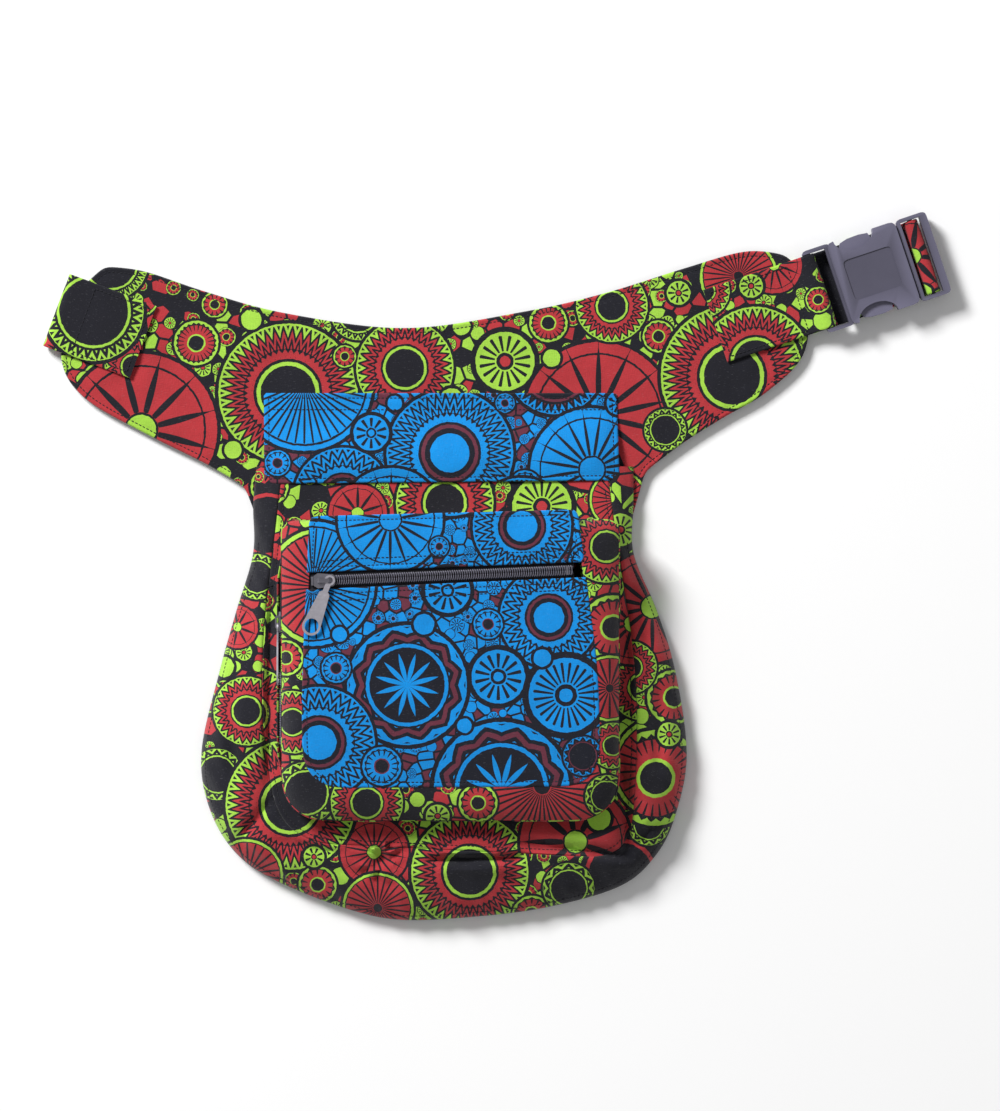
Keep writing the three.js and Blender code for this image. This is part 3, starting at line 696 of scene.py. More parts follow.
top_edge = curve_through(BELT_TOP_EDGE)
right_edge = curve_through(RIGHT_WING_EDGE)
left_edge = curve_through(LEFT_WING_EDGE)
NECK_LOW = 112.0
belt_rim = smoothed(resampled(np.vstack([
    [(-114, NECK_LOW)], left_edge, top_edge, right_edge, [(113, NECK_LOW)]]), 2.5), 3)
belt_outline = np.vstack([belt_rim, [(60, NECK_LOW), (0, NECK_LOW), (-60, NECK_LOW)]])


def belt_drop(y):
    """The belt's lower part comes down towards the table behind the pouch."""
    return 2.3 * (1 - step_up(y, 100, 130))


def belt_ripple(x, y):
    """Slack cloth: shallow waves over the wings and creases that run from the neck and the patches."""
    wave = 0.7 * lumps(x, y, 30, 1) + 0.35 * lumps(x, y, 12, 2)
    creases = (fold(x, y, ((-128, 138), (-168, 214)), 6) + fold(x, y, ((128, 150), (158, 206)), 6)
               + fold(x, y, ((-112, 200), (-60, 214)), 7) + fold(x, y, ((112, 206), (60, 216)), 7)
               + fold(x, y, ((-206, 184), (-178, 206)), 5) + fold(x, y, ((186, 190), (204, 232)), 5))
    return wave - 0.9 * creases


def belt_top(x, y):
    gap = to_segments(np.column_stack([x, y]), belt_rim)
    pucker = 0.28 * np.sin(gap * 0.9 + (x + y) * 1.05) * np.exp(-(gap / 4.5) ** 2)
    height = BELT_TOP - 0.1 + belt_ripple(x, y) * step_up(gap, 0, 8) * 0.9
    return height - belt_drop(y) - edge_round(gap, 3.1) - seam_dip(gap, 0.45) + pucker * step_up(gap, 0, 1.5)


def belt_under(x, y):
    gap = to_segments(np.column_stack([x, y]), belt_rim)
    return BELT_UNDER - belt_drop(y) * 0.98 + edge_round(gap, 3.1) + 0.08 * lumps(x, y, 14, 3)


belt_cuts = {}


def belt_half(side, name):
    """One half of the belt, from the middle of the back to the tip of its wing."""
    rim = belt_rim[belt_rim[:, 0] * side > 1.0]
    top_y = np.interp(0, top_edge[:, 0], top_edge[:, 1])
    middle = np.vstack([[(side * 56, NECK_LOW)], [(0, NECK_LOW)],
                        resampled([(0, NECK_LOW), (0, top_y)], 4.0)[1:-1], [(0, top_y)]])
    belt_cuts[side] = np.vstack([rim, middle if side > 0 else middle[::-1]])
    return layer(f"belt_{name}", belt_cuts[side], belt_top, belt_under, None, [red_print, lining],
                 spacing=3.6, rings=FINE_RINGS)


def wing_blend(piece):
    """Cloth and stitches that run from the belt's middle onto a wing: their placement is baked into their
    mesh.
    """
    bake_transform(piece)


for side, name in ((-1, "left"), (1, "right")):
    piece = belt_half(side, name)
    wing_blend(piece)
    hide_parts(f"{name}_wing_outer", f"{name}_wing_lining", "belt_outer_panel")
    line = inset(belt_outline, STITCH_INSET)[:len(belt_rim)]
    line = line[(line[:, 0] * side > 0) & (line[:, 1] > 126)]
    run = stitches(f"belt_{name}_stitches", [along_height(line, belt_top)], None, thread)
    wing_blend(run)

# ---------------------------------------------------------------- straps


def ribbon(name, path, half_width, angle, place, cloth_place, start_at=0.0, thickness=1.7):
    """A strap: a centre line of (along, z) given an even thickness and a soft edge, then laid at an angle."""
    path = resampled(path, 2.0)
    ahead = np.gradient(path, axis=0)
    ahead /= np.linalg.norm(ahead, axis=1)[:, None]
    normal = np.column_stack([-ahead[:, 1], ahead[:, 0]])
    length = np.r_[0, np.cumsum(np.linalg.norm(np.diff(path, axis=0), axis=1))] + start_at
    across = np.array([-1, -0.985, -0.94, -0.88, -0.5, 0, 0.5, 0.88, 0.94, 0.985, 1]) * half_width
    puff = np.array([0.12, 0.42, 0.5, 0.36, 0.5, 0.5, 0.5, 0.36, 0.5, 0.42, 0.12]) * thickness
    section = [(v, t) for v, t in zip(across, puff)] + [(v, -t) for v, t in zip(across[::-1], puff[::-1])]
    rings, cloth = [], []
    for point, out, at in zip(path, normal, length):
        ring = [(point[0] + out[0] * t, v, point[1] + out[1] * t) for v, t in section]
        rings.append(turned(ring, angle, place))
        cloth.append([(at + cloth_place[0], v + cloth_place[1], 0) for v, _ in section])
    return capped(name, rings, cloth, red_print)


def capped(name, rings, cloth, material):
    """A loft with flat ends."""
    count, across = len(rings), len(rings[0])
    faces = []
    for k in range(count - 1):
        for i in range(across):
            j = (i + 1) % across
            faces.append((k * across + j, k * across + i, (k + 1) * across + i, (k + 1) * across + j))
    faces.append(list(range(across)))
    faces.append([(count - 1) * across + i for i in range(across)][::-1])
    return finish_mesh(name, np.vstack(rings), faces, np.vstack(cloth), None, [material], sharp=55)


def bend(centre, radius, start, end, count=8):
    """Points on an arc in (along, z), angles in degrees."""
    return [(centre[0] + radius * math.cos(math.radians(a)), centre[1] + radius * math.sin(math.radians(a)))
            for a in np.linspace(start, end, count)]


HALF_STRAP = STRAP_WIDTH / 2
LOW = 0.95
ON_BELT = BELT_TOP + 1.35
fold_radius = (ON_BELT - LOW) / 2
left_path = [(56, ON_BELT), (40, ON_BELT + 0.25), (20, ON_BELT + 0.1),
             *bend((fold_radius + 0.9, LOW + fold_radius), fold_radius, 90, 270), (20, LOW), (224, LOW)]
strap_left = ribbon("strap_left_cloth", left_path, HALF_STRAP, -LEFT_TILT, LEFT_FOLD, (600, 0), 40)
wing_blend(strap_left)
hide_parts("strap_left")

inner_path = [(-277, LOW + 0.05), (-62, LOW + 0.05)]
strap_inner = ribbon("strap_inner_cloth", inner_path, HALF_STRAP, STRAP_TILT, BUCKLE_ORIGIN, (600, 200))
wing_blend(strap_inner)
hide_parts("strap_middle")

outer_path = [(-62, LOW + 0.05), (46.2, LOW + 0.05), *bend((46.2, 3.6), 2.6, 270, 360, 5), (48.8, 8.6),
              *bend((51.0, 8.9), 2.2, 180, 90, 5), (53.6, 11.15), *bend((53.6, 8.9), 2.25, 90, 0, 5),
              (55.85, 2.6)]
strap_outer = ribbon("strap_outer_cloth", outer_path, HALF_STRAP - 0.2, STRAP_TILT, BUCKLE_ORIGIN, (600, 400))
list(turned([(-20.0, 0.0, 0.0)], STRAP_TILT, BUCKLE_ORIGIN)[0][:2] * MM)
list(turned([(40.0, 0.0, 0.0)], STRAP_TILT, BUCKLE_ORIGIN)[0][:2] * MM)
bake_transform(strap_outer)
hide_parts("strap_right", "strap_slide_loop")

patch_path = [(-78, ON_BELT), (-50, ON_BELT + 0.3), (-24, ON_BELT + 0.15), (-18.5, 9.6),
              *bend((-14.4, 8.4), 2.9, 125, 90, 4), (-12, 11.3), *bend((-11.6, 8.6), 2.7, 90, 0, 5),
              *bend((-11.6, 7.9), 2.65, 0, -90, 5), (-16.0, 5.25)]
patch = ribbon("patch_right_cloth", patch_path, HALF_STRAP - 0.2, STRAP_TILT, BUCKLE_ORIGIN, (600, 600), 90)
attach(patch, "right_wing")
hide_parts("wing_patch_right")


def box_stitch(name, start, end, angle, place, body, height):
    """A rectangle of stitches on a strap's top layer."""
    h = HALF_STRAP - STITCH_INSET
    runs = [[(start, -h, height), (end, -h, height)], [(start, h, height), (end, h, height)],
            [(start, -h, height), (start, h, height)], [(end, -h, height), (end, h, height)]]
    piece = stitches(name, [turned(run, angle, place) for run in runs], body, thread)


box_stitch("patch_left_stitches", 18, 53, -LEFT_TILT, LEFT_FOLD, "left_wing", ON_BELT + 0.98)
box_stitch("patch_right_stitches", -75, -26, STRAP_TILT, BUCKLE_ORIGIN, "right_wing", ON_BELT + 1.02)

# ---------------------------------------------------------------- pouch

pouch_right = curve_through([(113, MOUTH_Y), *POUCH_RIGHT, (-20, -132)])
pouch_left = curve_through([(40, -128), *POUCH_LEFT, (-113, MOUTH_Y)])
pouch_rim = smoothed(np.vstack([pouch_right[pouch_right[:, 1] > -127.6][:-1],
                                pouch_left[(pouch_left[:, 0] < 34)]]), 3)
pouch_rim[:, 1] = np.minimum(pouch_rim[:, 1], MOUTH_Y)
mouth = resampled([(-113, MOUTH_Y), (113, MOUTH_Y)], 3.0)[1:-1]
pouch_outline = np.vstack([pouch_rim, mouth])

PANEL = rounded([(-97, MOUTH_Y), (-103, 86), (-108, 46), (-110, -24), (-96, -84), (110, -94), (116, -24),
                 (113, 30), (104, 86), (97, MOUTH_Y)], [1, 20, 24, 40, 30, 24, 40, 24, 20, 1], 3.0)

POUCH_FOLDS = [
    # ends, width, height (negative is a crease)
    (((-10, -95), (46, -93)), 2.4, -4.2), (((-6, -90), (44, -88)), 3.6, 2.0),
    (((-4, -101), (40, -100)), 3.6, 1.8), (((44, -84), (112, -93)), 2.4, -3.6),
    (((48, -78), (104, -80)), 4.0, 1.6), (((50, -90), (108, -99)), 3.6, 1.6),
    (((-132, -78), (-98, -108)), 3.0, -4.0), (((-136, -68), (-108, -96)), 3.6, 2.0),
    (((-118, -90), (-84, -112)), 3.0, 1.6), (((-100, -84), (-60, -92)), 3.0, -2.4),
    (((-62, -98), (-28, -112)), 3.4, -2.0), (((-20, -98), (10, -124)), 4.0, 1.6),
    (((105, -34), (110, -92)), 3.4, -5.0), (((113, -46), (128, -84)), 3.8, 2.2),
    (((112, -88), (130, -70)), 2.8, -2.6), (((109, 60), (107, -20)), 3.4, -2.6),
    (((-122, 60), (-138, -6)), 4.2, 1.8), (((-128, 24), (-126, -50)), 3.6, -2.2),
    (((-103, 70), (-105, -50)), 3.0, -3.6), (((-104, -60), (-124, -84)), 3.0, -3.4),
    (((120, 64), (136, 6)), 4.2, 1.8), (((129, 20), (127, -48)), 3.6, -2.0),
    (((30, -104), (72, -120)), 3.6, -2.0), (((-112, 96), (-119, 40)), 3.6, -1.8),
    (((110, 96), (119, 40)), 3.6, -1.8), (((-20, -84), (40, -82)), 3.2, 1.2),
]
PINCH = (-38.0, -94.0)


def pinched(x, y):
    """A gather drawn to one point, with folds that run out from it."""
    reach = np.hypot(x - PINCH[0], y - PINCH[1])
    around = np.arctan2(y - PINCH[1], x - PINCH[0])
    folds = 1.5 * np.cos(9 * around + 0.6 * np.sin(2 * around)) * np.exp(-((reach - 9) / 7) ** 2)
    return 1.3 * folds - 6.5 * np.exp(-(reach / 4.2) ** 2)


def pouch_height(x, y):
    """The filled pouch: it rises from its rim like a cushion and falls away towards the mouth."""
    gap = to_segments(np.column_stack([x, y]), pouch_rim)
    toward_mouth = step_up(y, 52, MOUTH_Y + 14)
    full = POUCH_TOP * (1 - toward_mouth) + 11.6 * toward_mouth
    reach = 31 + 16 * step_up(-y, 60, 100) - 14 * step_up(y, 60, 110)
    base = 2.0 + 3.9 * step_up(y, 98, 126)
    t = np.clip(gap / reach, 0, 1)
    rise = np.sqrt(1 - (1 - t) ** 2.15)
    height = base + (full - base) * rise
    soft = step_up(gap, 1, 14)
    for ends, width, depth in POUCH_FOLDS:
        height = height + FOLD_DEPTH * depth * fold(x, y, ends, width) * soft
    pucker = 0.8 * np.sin((x * 0.42 + y * 0.31) + 2.5 * lumps(x, y, 22, 5)) * np.exp(-((gap - 7) / 8) ** 2)
    height += pucker * step_up(gap, 0, 4) + pinched(x, y) * soft
    height += (1.1 * lumps(x, y, 26, 4) + 0.55 * lumps(x, y, 10, 6)) * soft * (1 - 0.5 * toward_mouth)
    return np.minimum(height, POUCH_TOP + 1.4)


panel_ring = closed(PANEL)
panel_open = PANEL[PANEL[:, 1] < MOUTH_Y - 1.2]
panel_start = np.argmax(np.linalg.norm(panel_open - np.roll(panel_open, 1, axis=0), axis=1))
panel_seam = np.roll(panel_open, -panel_start, axis=0)
if panel_seam[0][0] > 0:
    panel_seam = panel_seam[::-1]


def panel_top(x, y):
    gap = to_segments(np.column_stack([x, y]), panel_ring)
    return pouch_height(x, y) - edge_round(gap, 2.6) * 0.9 - seam_dip(gap, 0.5)


def gusset_top(x, y):
    spots = np.column_stack([x, y])
    seam = to_segments(spots, panel_ring)
    rim = to_segments(spots, pouch_rim)
    return pouch_height(x, y) - edge_round(seam, 2.4) * 0.9 - 0.5 * edge_round(rim, 2.0) - seam_dip(rim, 0.3)


def shell_under(top, thickness=1.3):
    return lambda x, y: np.maximum(top(x, y) - thickness, 1.7 + 3.6 * step_up(y, 98, 126))


def shifted(dx, dy):
    """Cloth coordinates of a piece that was cut from another place in the print."""
    return lambda x, y: np.column_stack([x + dx, y + dy])


panel = layer("pouch_front_cloth", PANEL, panel_top, shell_under(panel_top), "root", [red_print, lining],
              spacing=3.0)
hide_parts("pouch_front_panel", "mouth_binding")

gusset_outline = np.vstack([pouch_rim, [(-105, MOUTH_Y)], panel_seam, [(105, MOUTH_Y)]])
gusset = layer("pouch_gusset_cloth", gusset_outline, gusset_top, shell_under(gusset_top), "root",
               [red_print, lining], spacing=3.0, rings=(0.6, 1.6, 3.0, 4.4), cloth=shifted(-600, 0))
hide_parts("pouch_gusset")

back = layer("pouch_back_cloth", pouch_outline, lambda x, y: 1.5 + 2.6 * step_up(y, 112, 130) + 0 * x,
             lambda x, y: 0.02 + 2.55 * step_up(y, 112, 130) + 0 * x, "root", [lining], spacing=9.0)
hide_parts("back_panel")

run = stitches("pouch_stitches", [
    along_height(smoothed(inset(PANEL, STITCH_INSET)[PANEL[:, 1] < 128], 0), panel_top),
    along_height(inset(pouch_outline, STITCH_INSET)[:len(pouch_rim)][(pouch_rim[:, 1] < 96)], gusset_top)],
    "root", thread)

# ---------------------------------------------------------------- patch pocket

POCKET = rounded([(-97, 108), (-97, -71), (104, -71), (104, 108)], [8, 30, 30, 8], 3.0)
FACE = rounded([(-80, 110), (-84.5, 10), (-84, -51), (92, -50), (92, 12), (79, 114)],
               [4, 30, 26, 24, 30, 4], 3.0)


def pocket_floor(x, y):
    return np.minimum(pouch_height(x, y) - 0.6, POCKET_FLOOR + 2)


def wall(name, line, normals, low, high, bulge, offset, closed, lean_low=0.0, lean_high=0.0, thickness=1.2):
    """A standing cloth band along a plan line, with soft top and bottom edges."""
    length = np.r_[0, np.cumsum(np.linalg.norm(np.diff(line, axis=0), axis=1))]
    rows = np.array([0, 0.06, 0.2, 0.4, 0.6, 0.8, 0.94, 1.0])
    rings, cloth = [], []
    wave = 0.5 * lumps(line[:, 0], line[:, 1], 14, 8) * step_up(line[:, 0], -92, -80)
    for sheet, order in ((1, rows), (-1, rows[::-1])):
        for t in order:
            edge = 0.5 if t in (0, 1) else 0.0
            out = bulge * math.sin(math.pi * t) + wave * math.sin(math.pi * t)
            out = out + (-edge if sheet > 0 else -thickness + edge)
            out = out + lean_low * (1 - t) ** 2 + lean_high * t * t
            height = low + (high - low) * t
            rings.append(np.column_stack([line + normals * np.reshape(out, (-1, 1)), height]))
            cloth.append(np.column_stack([length + offset[0], height + offset[1], 0 * length]))
    return loft(name, rings, cloth, "root", [red_print], closed_rings=closed)


pocket_normals = plan_normals(POCKET)
floor_line = np.minimum(pocket_floor(POCKET[:, 0], POCKET[:, 1]), POCKET_FLOOR)
slot_low, slot_high = SIDE_ZIP[2] - 3.3, SIDE_ZIP[2] + 3.3
on_left = (POCKET[:, 0] < -95) & (POCKET[:, 1] > -31) & (POCKET[:, 1] < 73)
start = int(np.argmax(~on_left & np.roll(on_left, 1)))
around = np.roll(np.arange(len(POCKET)), -start)
around = around[~on_left[around]]
at_zip = (step_up(-POCKET[:, 0], 94, 96.5) * step_up(POCKET[:, 1], -52, -26)
          * (1 - step_up(POCKET[:, 1], 68, 92)))


def all_round(height, line=POCKET):
    """The same height at every point of a plan line."""
    return np.full(len(line), height)


CLOTH_START = (-60, 20)  # where the walls' strip begins in the print
low_wall = wall("rear_wall_lower", POCKET, pocket_normals, floor_line - 0.8, all_round(slot_low), 0.3,
                CLOTH_START, True, lean_high=ZIP_LEAN * at_zip)
mid_wall = wall("rear_wall_middle", POCKET[around], pocket_normals[around], all_round(slot_low - 0.2, around),
                all_round(slot_high + 0.2, around), 0.25, CLOTH_START, False)
top_wall = wall("rear_wall_upper", POCKET, pocket_normals, all_round(slot_high), all_round(REAR_TOP + 0.4),
                0.2, CLOTH_START, True, lean_low=-1.3 * at_zip)
for piece in (low_wall, mid_wall, top_wall):
    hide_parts("rear_pocket_gusset")


def from_zip(x, y):
    """How far a place lies above the front zip's centre line."""
    return (y - FRONT_ZIP[1]) * math.cos(ZIP_TILT) - (x - FRONT_ZIP[0]) * math.sin(ZIP_TILT)


def face_height(x, y):
    """The pocket's front, a little fuller below the zip and slack at its corners."""
    across = from_zip(x, y)
    crown = 2.0 * step_up(-across, 16, 60) * step_up(y, -52, -10)
    top_fall = -2.2 * step_up(across, 16, 44)
    wave = 0.5 * lumps(x, y, 34, 11) + 0.22 * lumps(x, y, 12, 12)
    away = step_up(np.abs(across), 5, 16)
    return FACE_HIGH + crown + top_fall + wave * away


RAYS = 260
CENTRE = (4.0, 24.0)


def ray_cut(outline, centre=CENTRE, count=RAYS):
    """Where evenly spaced rays from a centre cross an outline."""
    loop = closed(outline)
    angle = np.unwrap(np.arctan2(loop[:, 1] - centre[1], loop[:, 0] - centre[0]))
    if angle[-1] < angle[0]:
        angle, loop = angle[::-1], loop[::-1]
    turns = np.linspace(0, 2 * math.pi, count, endpoint=False)
    shifted_turns = angle[0] + (turns - angle[0]) % (2 * math.pi)
    return np.column_stack([np.interp(shifted_turns, angle, loop[:, k]) for k in (0, 1)])


base_line = ray_cut(inset(POCKET, 0.4))
face_line = ray_cut(inset(FACE, 1.4))
face_edge = face_height(face_line[:, 0], face_line[:, 1]) - 0.9
rows = np.linspace(0, 1, 11)
rings, cloth = [], []
pocket_cloth = shifted(-1200, 0)
sag = 0.9 * lumps(base_line[:, 0], base_line[:, 1], 20, 14)
for layer_in, order in ((0.0, rows), (1.2, rows[::-1])):
    for t in order:
        rise = math.sin(t * math.pi / 2) ** 0.8
        push = 2.6 * math.sin(math.pi * t) - layer_in
        plan = base_line * (1 - t) + face_line * t
        out = plan - np.array(CENTRE)
        out /= np.linalg.norm(out, axis=1)[:, None]
        inward = -sag * math.sin(math.pi * t)
        height = (REAR_TOP + 0.6) * (1 - rise) + face_edge * rise
        plan = plan + out * (push * 0.35 + inward * 0.5)[:, None]
        rings.append(np.column_stack([plan, height - layer_in * (0.3 + 0.7 * t) + inward * 0.4]))
        cloth.append(pocket_cloth(plan[:, 0], plan[:, 1]))
front_gusset = loft("front_gusset_cloth", rings, cloth, "root", [red_print])
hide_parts("front_pocket_gusset", "pocket_divider")


def zip_side(outline, low, high):
    """The part of an outline between two distances from the front zip's centre line."""
    dense = resampled(closed(outline), 1.0)[:-1]
    across = from_zip(dense[:, 0], dense[:, 1])
    kept = (across > low) & (across < high)
    first = int(np.argmax(kept & ~np.roll(kept, 1)))
    ring = np.roll(dense, -first, axis=0)[np.roll(kept, -first)]
    bridge = resampled([ring[-1], ring[0]], 2.0)[1:-1]
    return np.vstack([ring[::2], ring[-1:], bridge])


face_cuts = {}


def face_piece(name, node, low, high):
    """The blue cloth on one side of the front zip."""
    outline = face_cuts[name] = zip_side(FACE, low, high)
    ring = closed(outline)

    def top(x, y):
        gap = to_segments(np.column_stack([x, y]), ring)
        pucker = 0.12 * np.sin(x * 1.1 + y * 1.3) * np.exp(-(gap / 4) ** 2) * step_up(gap, 0.3, 1.5)
        return face_height(x, y) - edge_round(gap, 1.9) - seam_dip(gap, 0.4) + pucker

    def under(x, y):
        gap = to_segments(np.column_stack([x, y]), ring)
        return face_height(x, y) - 1.9 + edge_round(gap, 1.9)

    piece = layer(name, outline, top, under, "root", [blue_print, lining], spacing=3.4, rings=FINE_RINGS)
    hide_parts(node)
    line = closed(inset(outline, STITCH_INSET))
    second = inset(outline, 7.2)
    near = second[np.abs(from_zip(second[:, 0], second[:, 1])) < 12.2]
    near = near[np.argsort(near[:, 0])]
    run = stitches(name + "_stitches", [along_height(smoothed(line), top), along_height(near, top)], "root",
                   thread)


face_piece("pocket_face_upper_cloth", "pocket_face_upper", FACE_ZIP_GAP, 200)
face_piece("pocket_face_lower_cloth", "pocket_face_lower", -200, -FACE_ZIP_GAP)

# ---------------------------------------------------------------- flap

FLAP = rounded([(-108.5, 184), (-108, 129.5), (104.5, 131.5), (103, 184)], [1.5, 2.5, 2.5, 1.5], 2.5)
flap_ring = closed(FLAP)
FLAP_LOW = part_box("flap")[1][2] / MM


def flap_height(x, y):
    """The flap leaves its seam flat and rests on the pouch's mouth."""
    lift = step_up(-y, -178, -140)
    wave = 0.45 * lumps(x, y, 28, 21) + 0.2 * lumps(x, y, 10, 22)
    ends = -3.6 * step_up(np.abs(x + 2), 88, 112) * lift
    return BELT_TOP + 1.9 + (FLAP_LOW - BELT_TOP - 3.4) * lift + wave * step_up(-y, -182, -160) + ends


def flap_top(x, y):
    gap = to_segments(np.column_stack([x, y]), flap_ring)
    pucker = 0.12 * np.sin(x * 1.15 + y) * np.exp(-(gap / 4) ** 2) * step_up(gap, 0.3, 1.5)
    sewn = 0.4 * np.exp(-((y - 174.0) / 1.1) ** 2)
    return flap_height(x, y) - edge_round(gap, 2.0) - seam_dip(gap, 0.4) + pucker - sewn


def flap_under(x, y):
    gap = to_segments(np.column_stack([x, y]), flap_ring)
    return flap_height(x, y) - 1.9 + edge_round(gap, 2.0)


flap = layer("flap_cloth", FLAP, flap_top, flap_under, "flap", [blue_print, lining], spacing=3.4,
             rings=FINE_RINGS)
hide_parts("flap")
flap_seam = resampled([(-106, 174), (101, 174)], 2.0)
run = stitches("flap_stitches", [along_height(closed(inset(FLAP, STITCH_INSET)), flap_top),
                                 along_height(flap_seam, flap_top)], "flap", thread)

# ---------------------------------------------------------------- zips


def zip_frame(front):
    """Turns zip coordinates (along, across, out) into places on the pack."""
    if front:
        return lambda p: turned(np.array(p, float) + (0, 0, FACE_LOW), ZIP_TILT, FRONT_ZIP)

    def on_side(p):
        along, across, out = np.array(p, float).T
        lean = ZIP_LEAN * np.clip((-across - 1.2) / 3.2, 0, 1)
        return np.column_stack([SIDE_ZIP[0] - out - lean, SIDE_ZIP[1] - along, SIDE_ZIP[2] + across])

    return on_side


def tape_piece(name, node, place, start, end, low, high):
    """A woven tape: thicker at its corded inner edge, with a shallow rib every few threads."""
    rings, cloth = [], []
    section = [(low, 0), (low, 0.5), (low + 0.7, 0.85), (low + 1.6, 0.5), (high - 0.4, 0.45), (high, 0.3),
               (high, 0)]
    for along in np.arange(start, end, 1.5):
        rib = 0.04 * math.sin(along * 2.1)
        rings.append(place([(along, a, -1.25 + h + (rib if h else 0)) for a, h in section]))
        cloth.append([(along, a, 0) for a, h in section])
    piece = capped(name, rings, cloth, zip_tape)
    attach(piece, "root")
    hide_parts(node)


def coil_piece(name, node, place, start, end, side):
    """One half of a nylon coil: a loop of monofilament for each tooth."""
    pitch, steps, radius = 1.35, 10, 0.34
    turns = int((end - start) / pitch)
    path = []
    for k in range(turns * steps):
        turn = k / steps
        angle = 2 * math.pi * turn
        across = side * (1.45 + 1.30 * math.cos(angle)) - side * 0.10
        out = 0.86 + 0.50 * math.sin(angle)
        path.append((start + pitch * (turn + 0.18 * math.sin(angle)), across, out))
    path = np.array(path)
    ahead = np.gradient(path, axis=0)
    ahead /= np.linalg.norm(ahead, axis=1)[:, None]
    first = np.cross(ahead, (1, 0, 0.001))
    first /= np.linalg.norm(first, axis=1)[:, None]
    second = np.cross(ahead, first)
    rings, cloth = [], []
    for k in range(len(path)):
        ring = [path[k] + radius * (math.cos(a) * first[k] + math.sin(a) * second[k])
                for a in np.linspace(0, 2 * math.pi, 5, endpoint=False)]
        rings.append(place(ring))
        cloth.append([(path[k][0], path[k][1], 0)] * 5)
    piece = capped(name, rings, cloth, coil)
    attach(piece, "root")
    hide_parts(node)


# Each zip: its name and halves, then its tapes' ends and width and its chain's end, along the zip.
for prefix, names, start, end, width, chain_end in (
        ("front", ("upper", "lower"), -9.5, 149.5, 9.0, 148.5),
        ("side", ("front", "rear"), -27.5, 76.5, 4.4, 73.5)):
    place = zip_frame(prefix == "front")
    for side, name in ((1, names[0]), (-1, names[1])):
        edges = (1.0, width) if side > 0 else (-width, -1.0)
        tape_piece(f"{prefix}_tape_{name}", f"{prefix}_zip_tape_{name}", place, start, end, *edges)
        coil_piece(f"{prefix}_coil_{name}", f"{prefix}_zip_coil_{name}", place, -2.4, chain_end, side)

# ---------------------------------------------------------------- the cut assumed for each cloth


def length_of(line):
    """The length along a polyline."""
    return float(np.linalg.norm(np.diff(line, axis=0), axis=1).sum())


for piece, path, held in ((strap_left, left_path, "folded"), (strap_inner, inner_path, "laid"),
                          (strap_outer, outer_path, "folded"), (patch, patch_path, "folded")):
    length_of(np.array(path)) * MM

# ---------------------------------------------------------------- hardware kept from the frame


def dress(node, material, bevel, segments=3):
    """A CAD node with its own finish and softened edges."""
    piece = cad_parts[node]
    piece.data.materials.clear()
    piece.data.materials.append(material)
    modifier = piece.modifiers.new("edges", "BEVEL")
    modifier.width = bevel * MM
    modifier.segments = segments
    modifier.limit_method = "ANGLE"
    modifier.angle_limit = math.radians(28)
    modifier.harden_normals = False
    return piece


for node in ("front_zip_slider", "side_zip_slider"):
    dress(node, slider_metal, 0.35)
for node in ("front_zip_pull", "side_zip_pull"):
    dress(node, pull_metal, 0.28)
for node in ("front_zip_stop_left", "front_zip_stop_right", "side_zip_stop_top", "side_zip_stop_bottom"):
    dress(node, slider_metal, 0.3)
for node in ("buckle_socket", "buckle_plug_frame", "buckle_prong_upper", "buckle_prong_lower"):
    dress(node, plastic, 0.9, 4)
for node in ("loop_tape", "hook_tape"):
    dress(node, zip_tape, 0.15)

# ---------------------------------------------------------------- floor, light and camera


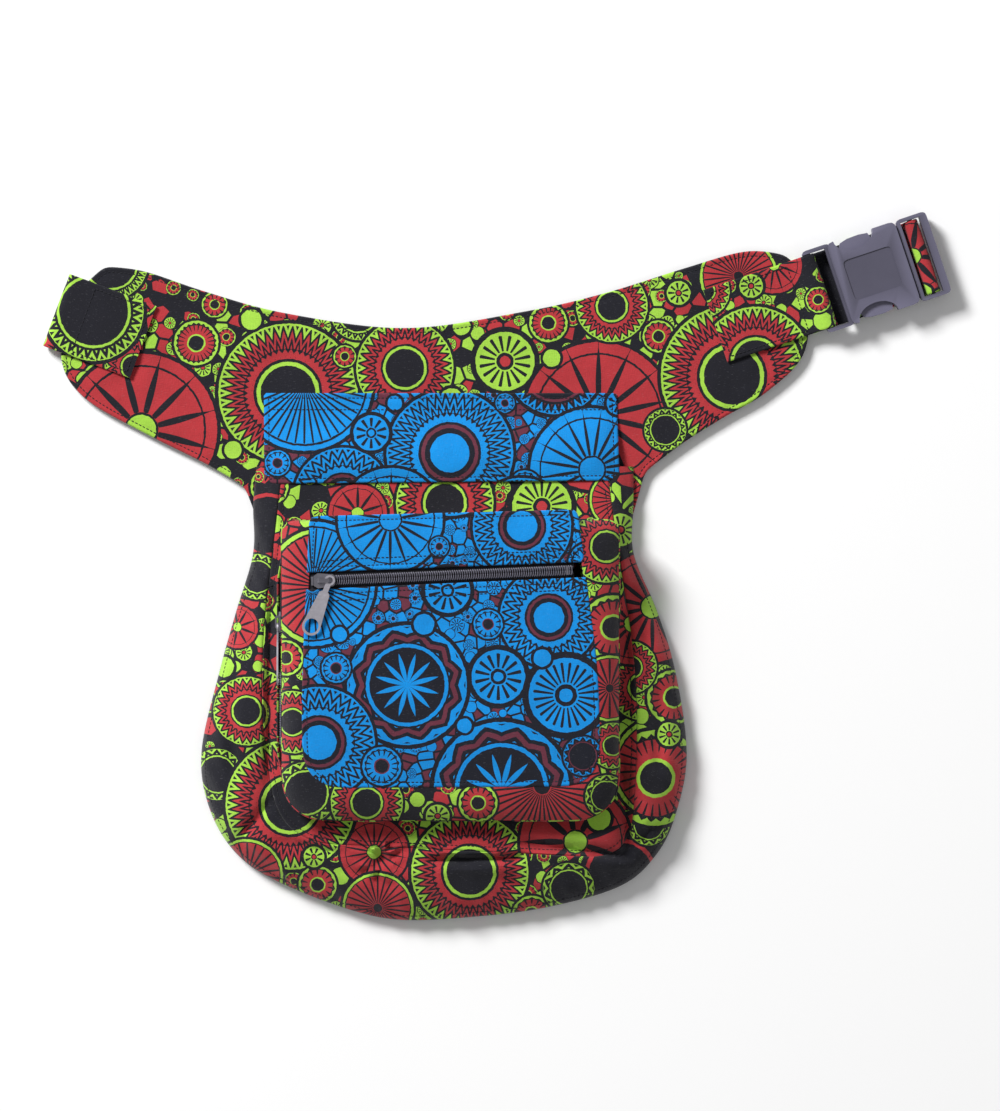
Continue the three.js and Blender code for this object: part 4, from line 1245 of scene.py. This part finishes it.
FLOOR_REACH = 12.0
FLOOR_DROP = 0.0006  # keeps the floor just clear of the cloth
WORLD_LIGHT = 0.30
AIM = (0.03, 0.08, 0.0)
LAMPS = [("key", (-2.4, 2.7, 2.75), 1.2, 262.0), ("fill", (1.2, -1.0, 1.9), 1.6, 4.0)]  # place, size, watts


def paper_floor():
    """A wide sheet of pale paper under the pack."""
    floor = bpy.data.meshes.new("floor")
    corners = [(x * FLOOR_REACH, y * FLOOR_REACH, -FLOOR_DROP)
               for x, y in ((-1, -1), (1, -1), (1, 1), (-1, 1))]
    floor.from_pydata(corners, [], [(0, 1, 2, 3)])
    net = Net("floor_paper")
    tone = net.noise(net.node("TexCoord").outputs["Object"], 1.2, 2.0)
    shade = net.mix("RGBA", tone, (0.92, 0.92, 0.92, 1), (0.95, 0.95, 0.95, 1))
    net.put(shade, net.shader.inputs["Base Color"])
    net.set(Roughness=0.9)
    floor.materials.append(net.material)
    sheet = bpy.data.objects.new("floor", floor)
    bpy.context.scene.collection.objects.link(sheet)


def studio():
    """A white room, a key lamp behind the pack on its left and a weak fill opposite."""
    world = bpy.data.worlds.new("studio")
    world.use_nodes = True
    world.node_tree.nodes["Background"].inputs[0].default_value = (1, 1, 1, 1)
    world.node_tree.nodes["Background"].inputs[1].default_value = WORLD_LIGHT
    bpy.context.scene.world = world
    for name, place, size, power in LAMPS:
        lamp = bpy.data.lights.new(name, "AREA")
        lamp.size = size
        lamp.energy = power
        light = bpy.data.objects.new(name, lamp)
        light.location = place
        aim = Vector(AIM) - Vector(place)
        light.rotation_euler = aim.to_track_quat("-Z", "Y").to_euler()
        bpy.context.scene.collection.objects.link(light)
    bpy.context.scene.view_settings.view_transform = "Standard"


VIEW_HEIGHT = 0.6666
VIEW_CENTRE = (0.033, 0.0867)


def camera():
    """Straight above, far enough off to flatten the view; the frame is 600 by 666.6 mm at the table."""
    data = bpy.data.cameras.new("camera")
    data.lens = 200.0
    data.sensor_width = 36.0
    data.clip_end = 50.0
    distance = VIEW_HEIGHT * data.lens / data.sensor_width
    eye = bpy.data.objects.new("camera", data)
    eye.location = (*VIEW_CENTRE, distance)
    bpy.context.scene.collection.objects.link(eye)
    bpy.context.scene.camera = eye


paper_floor()
studio()
camera()
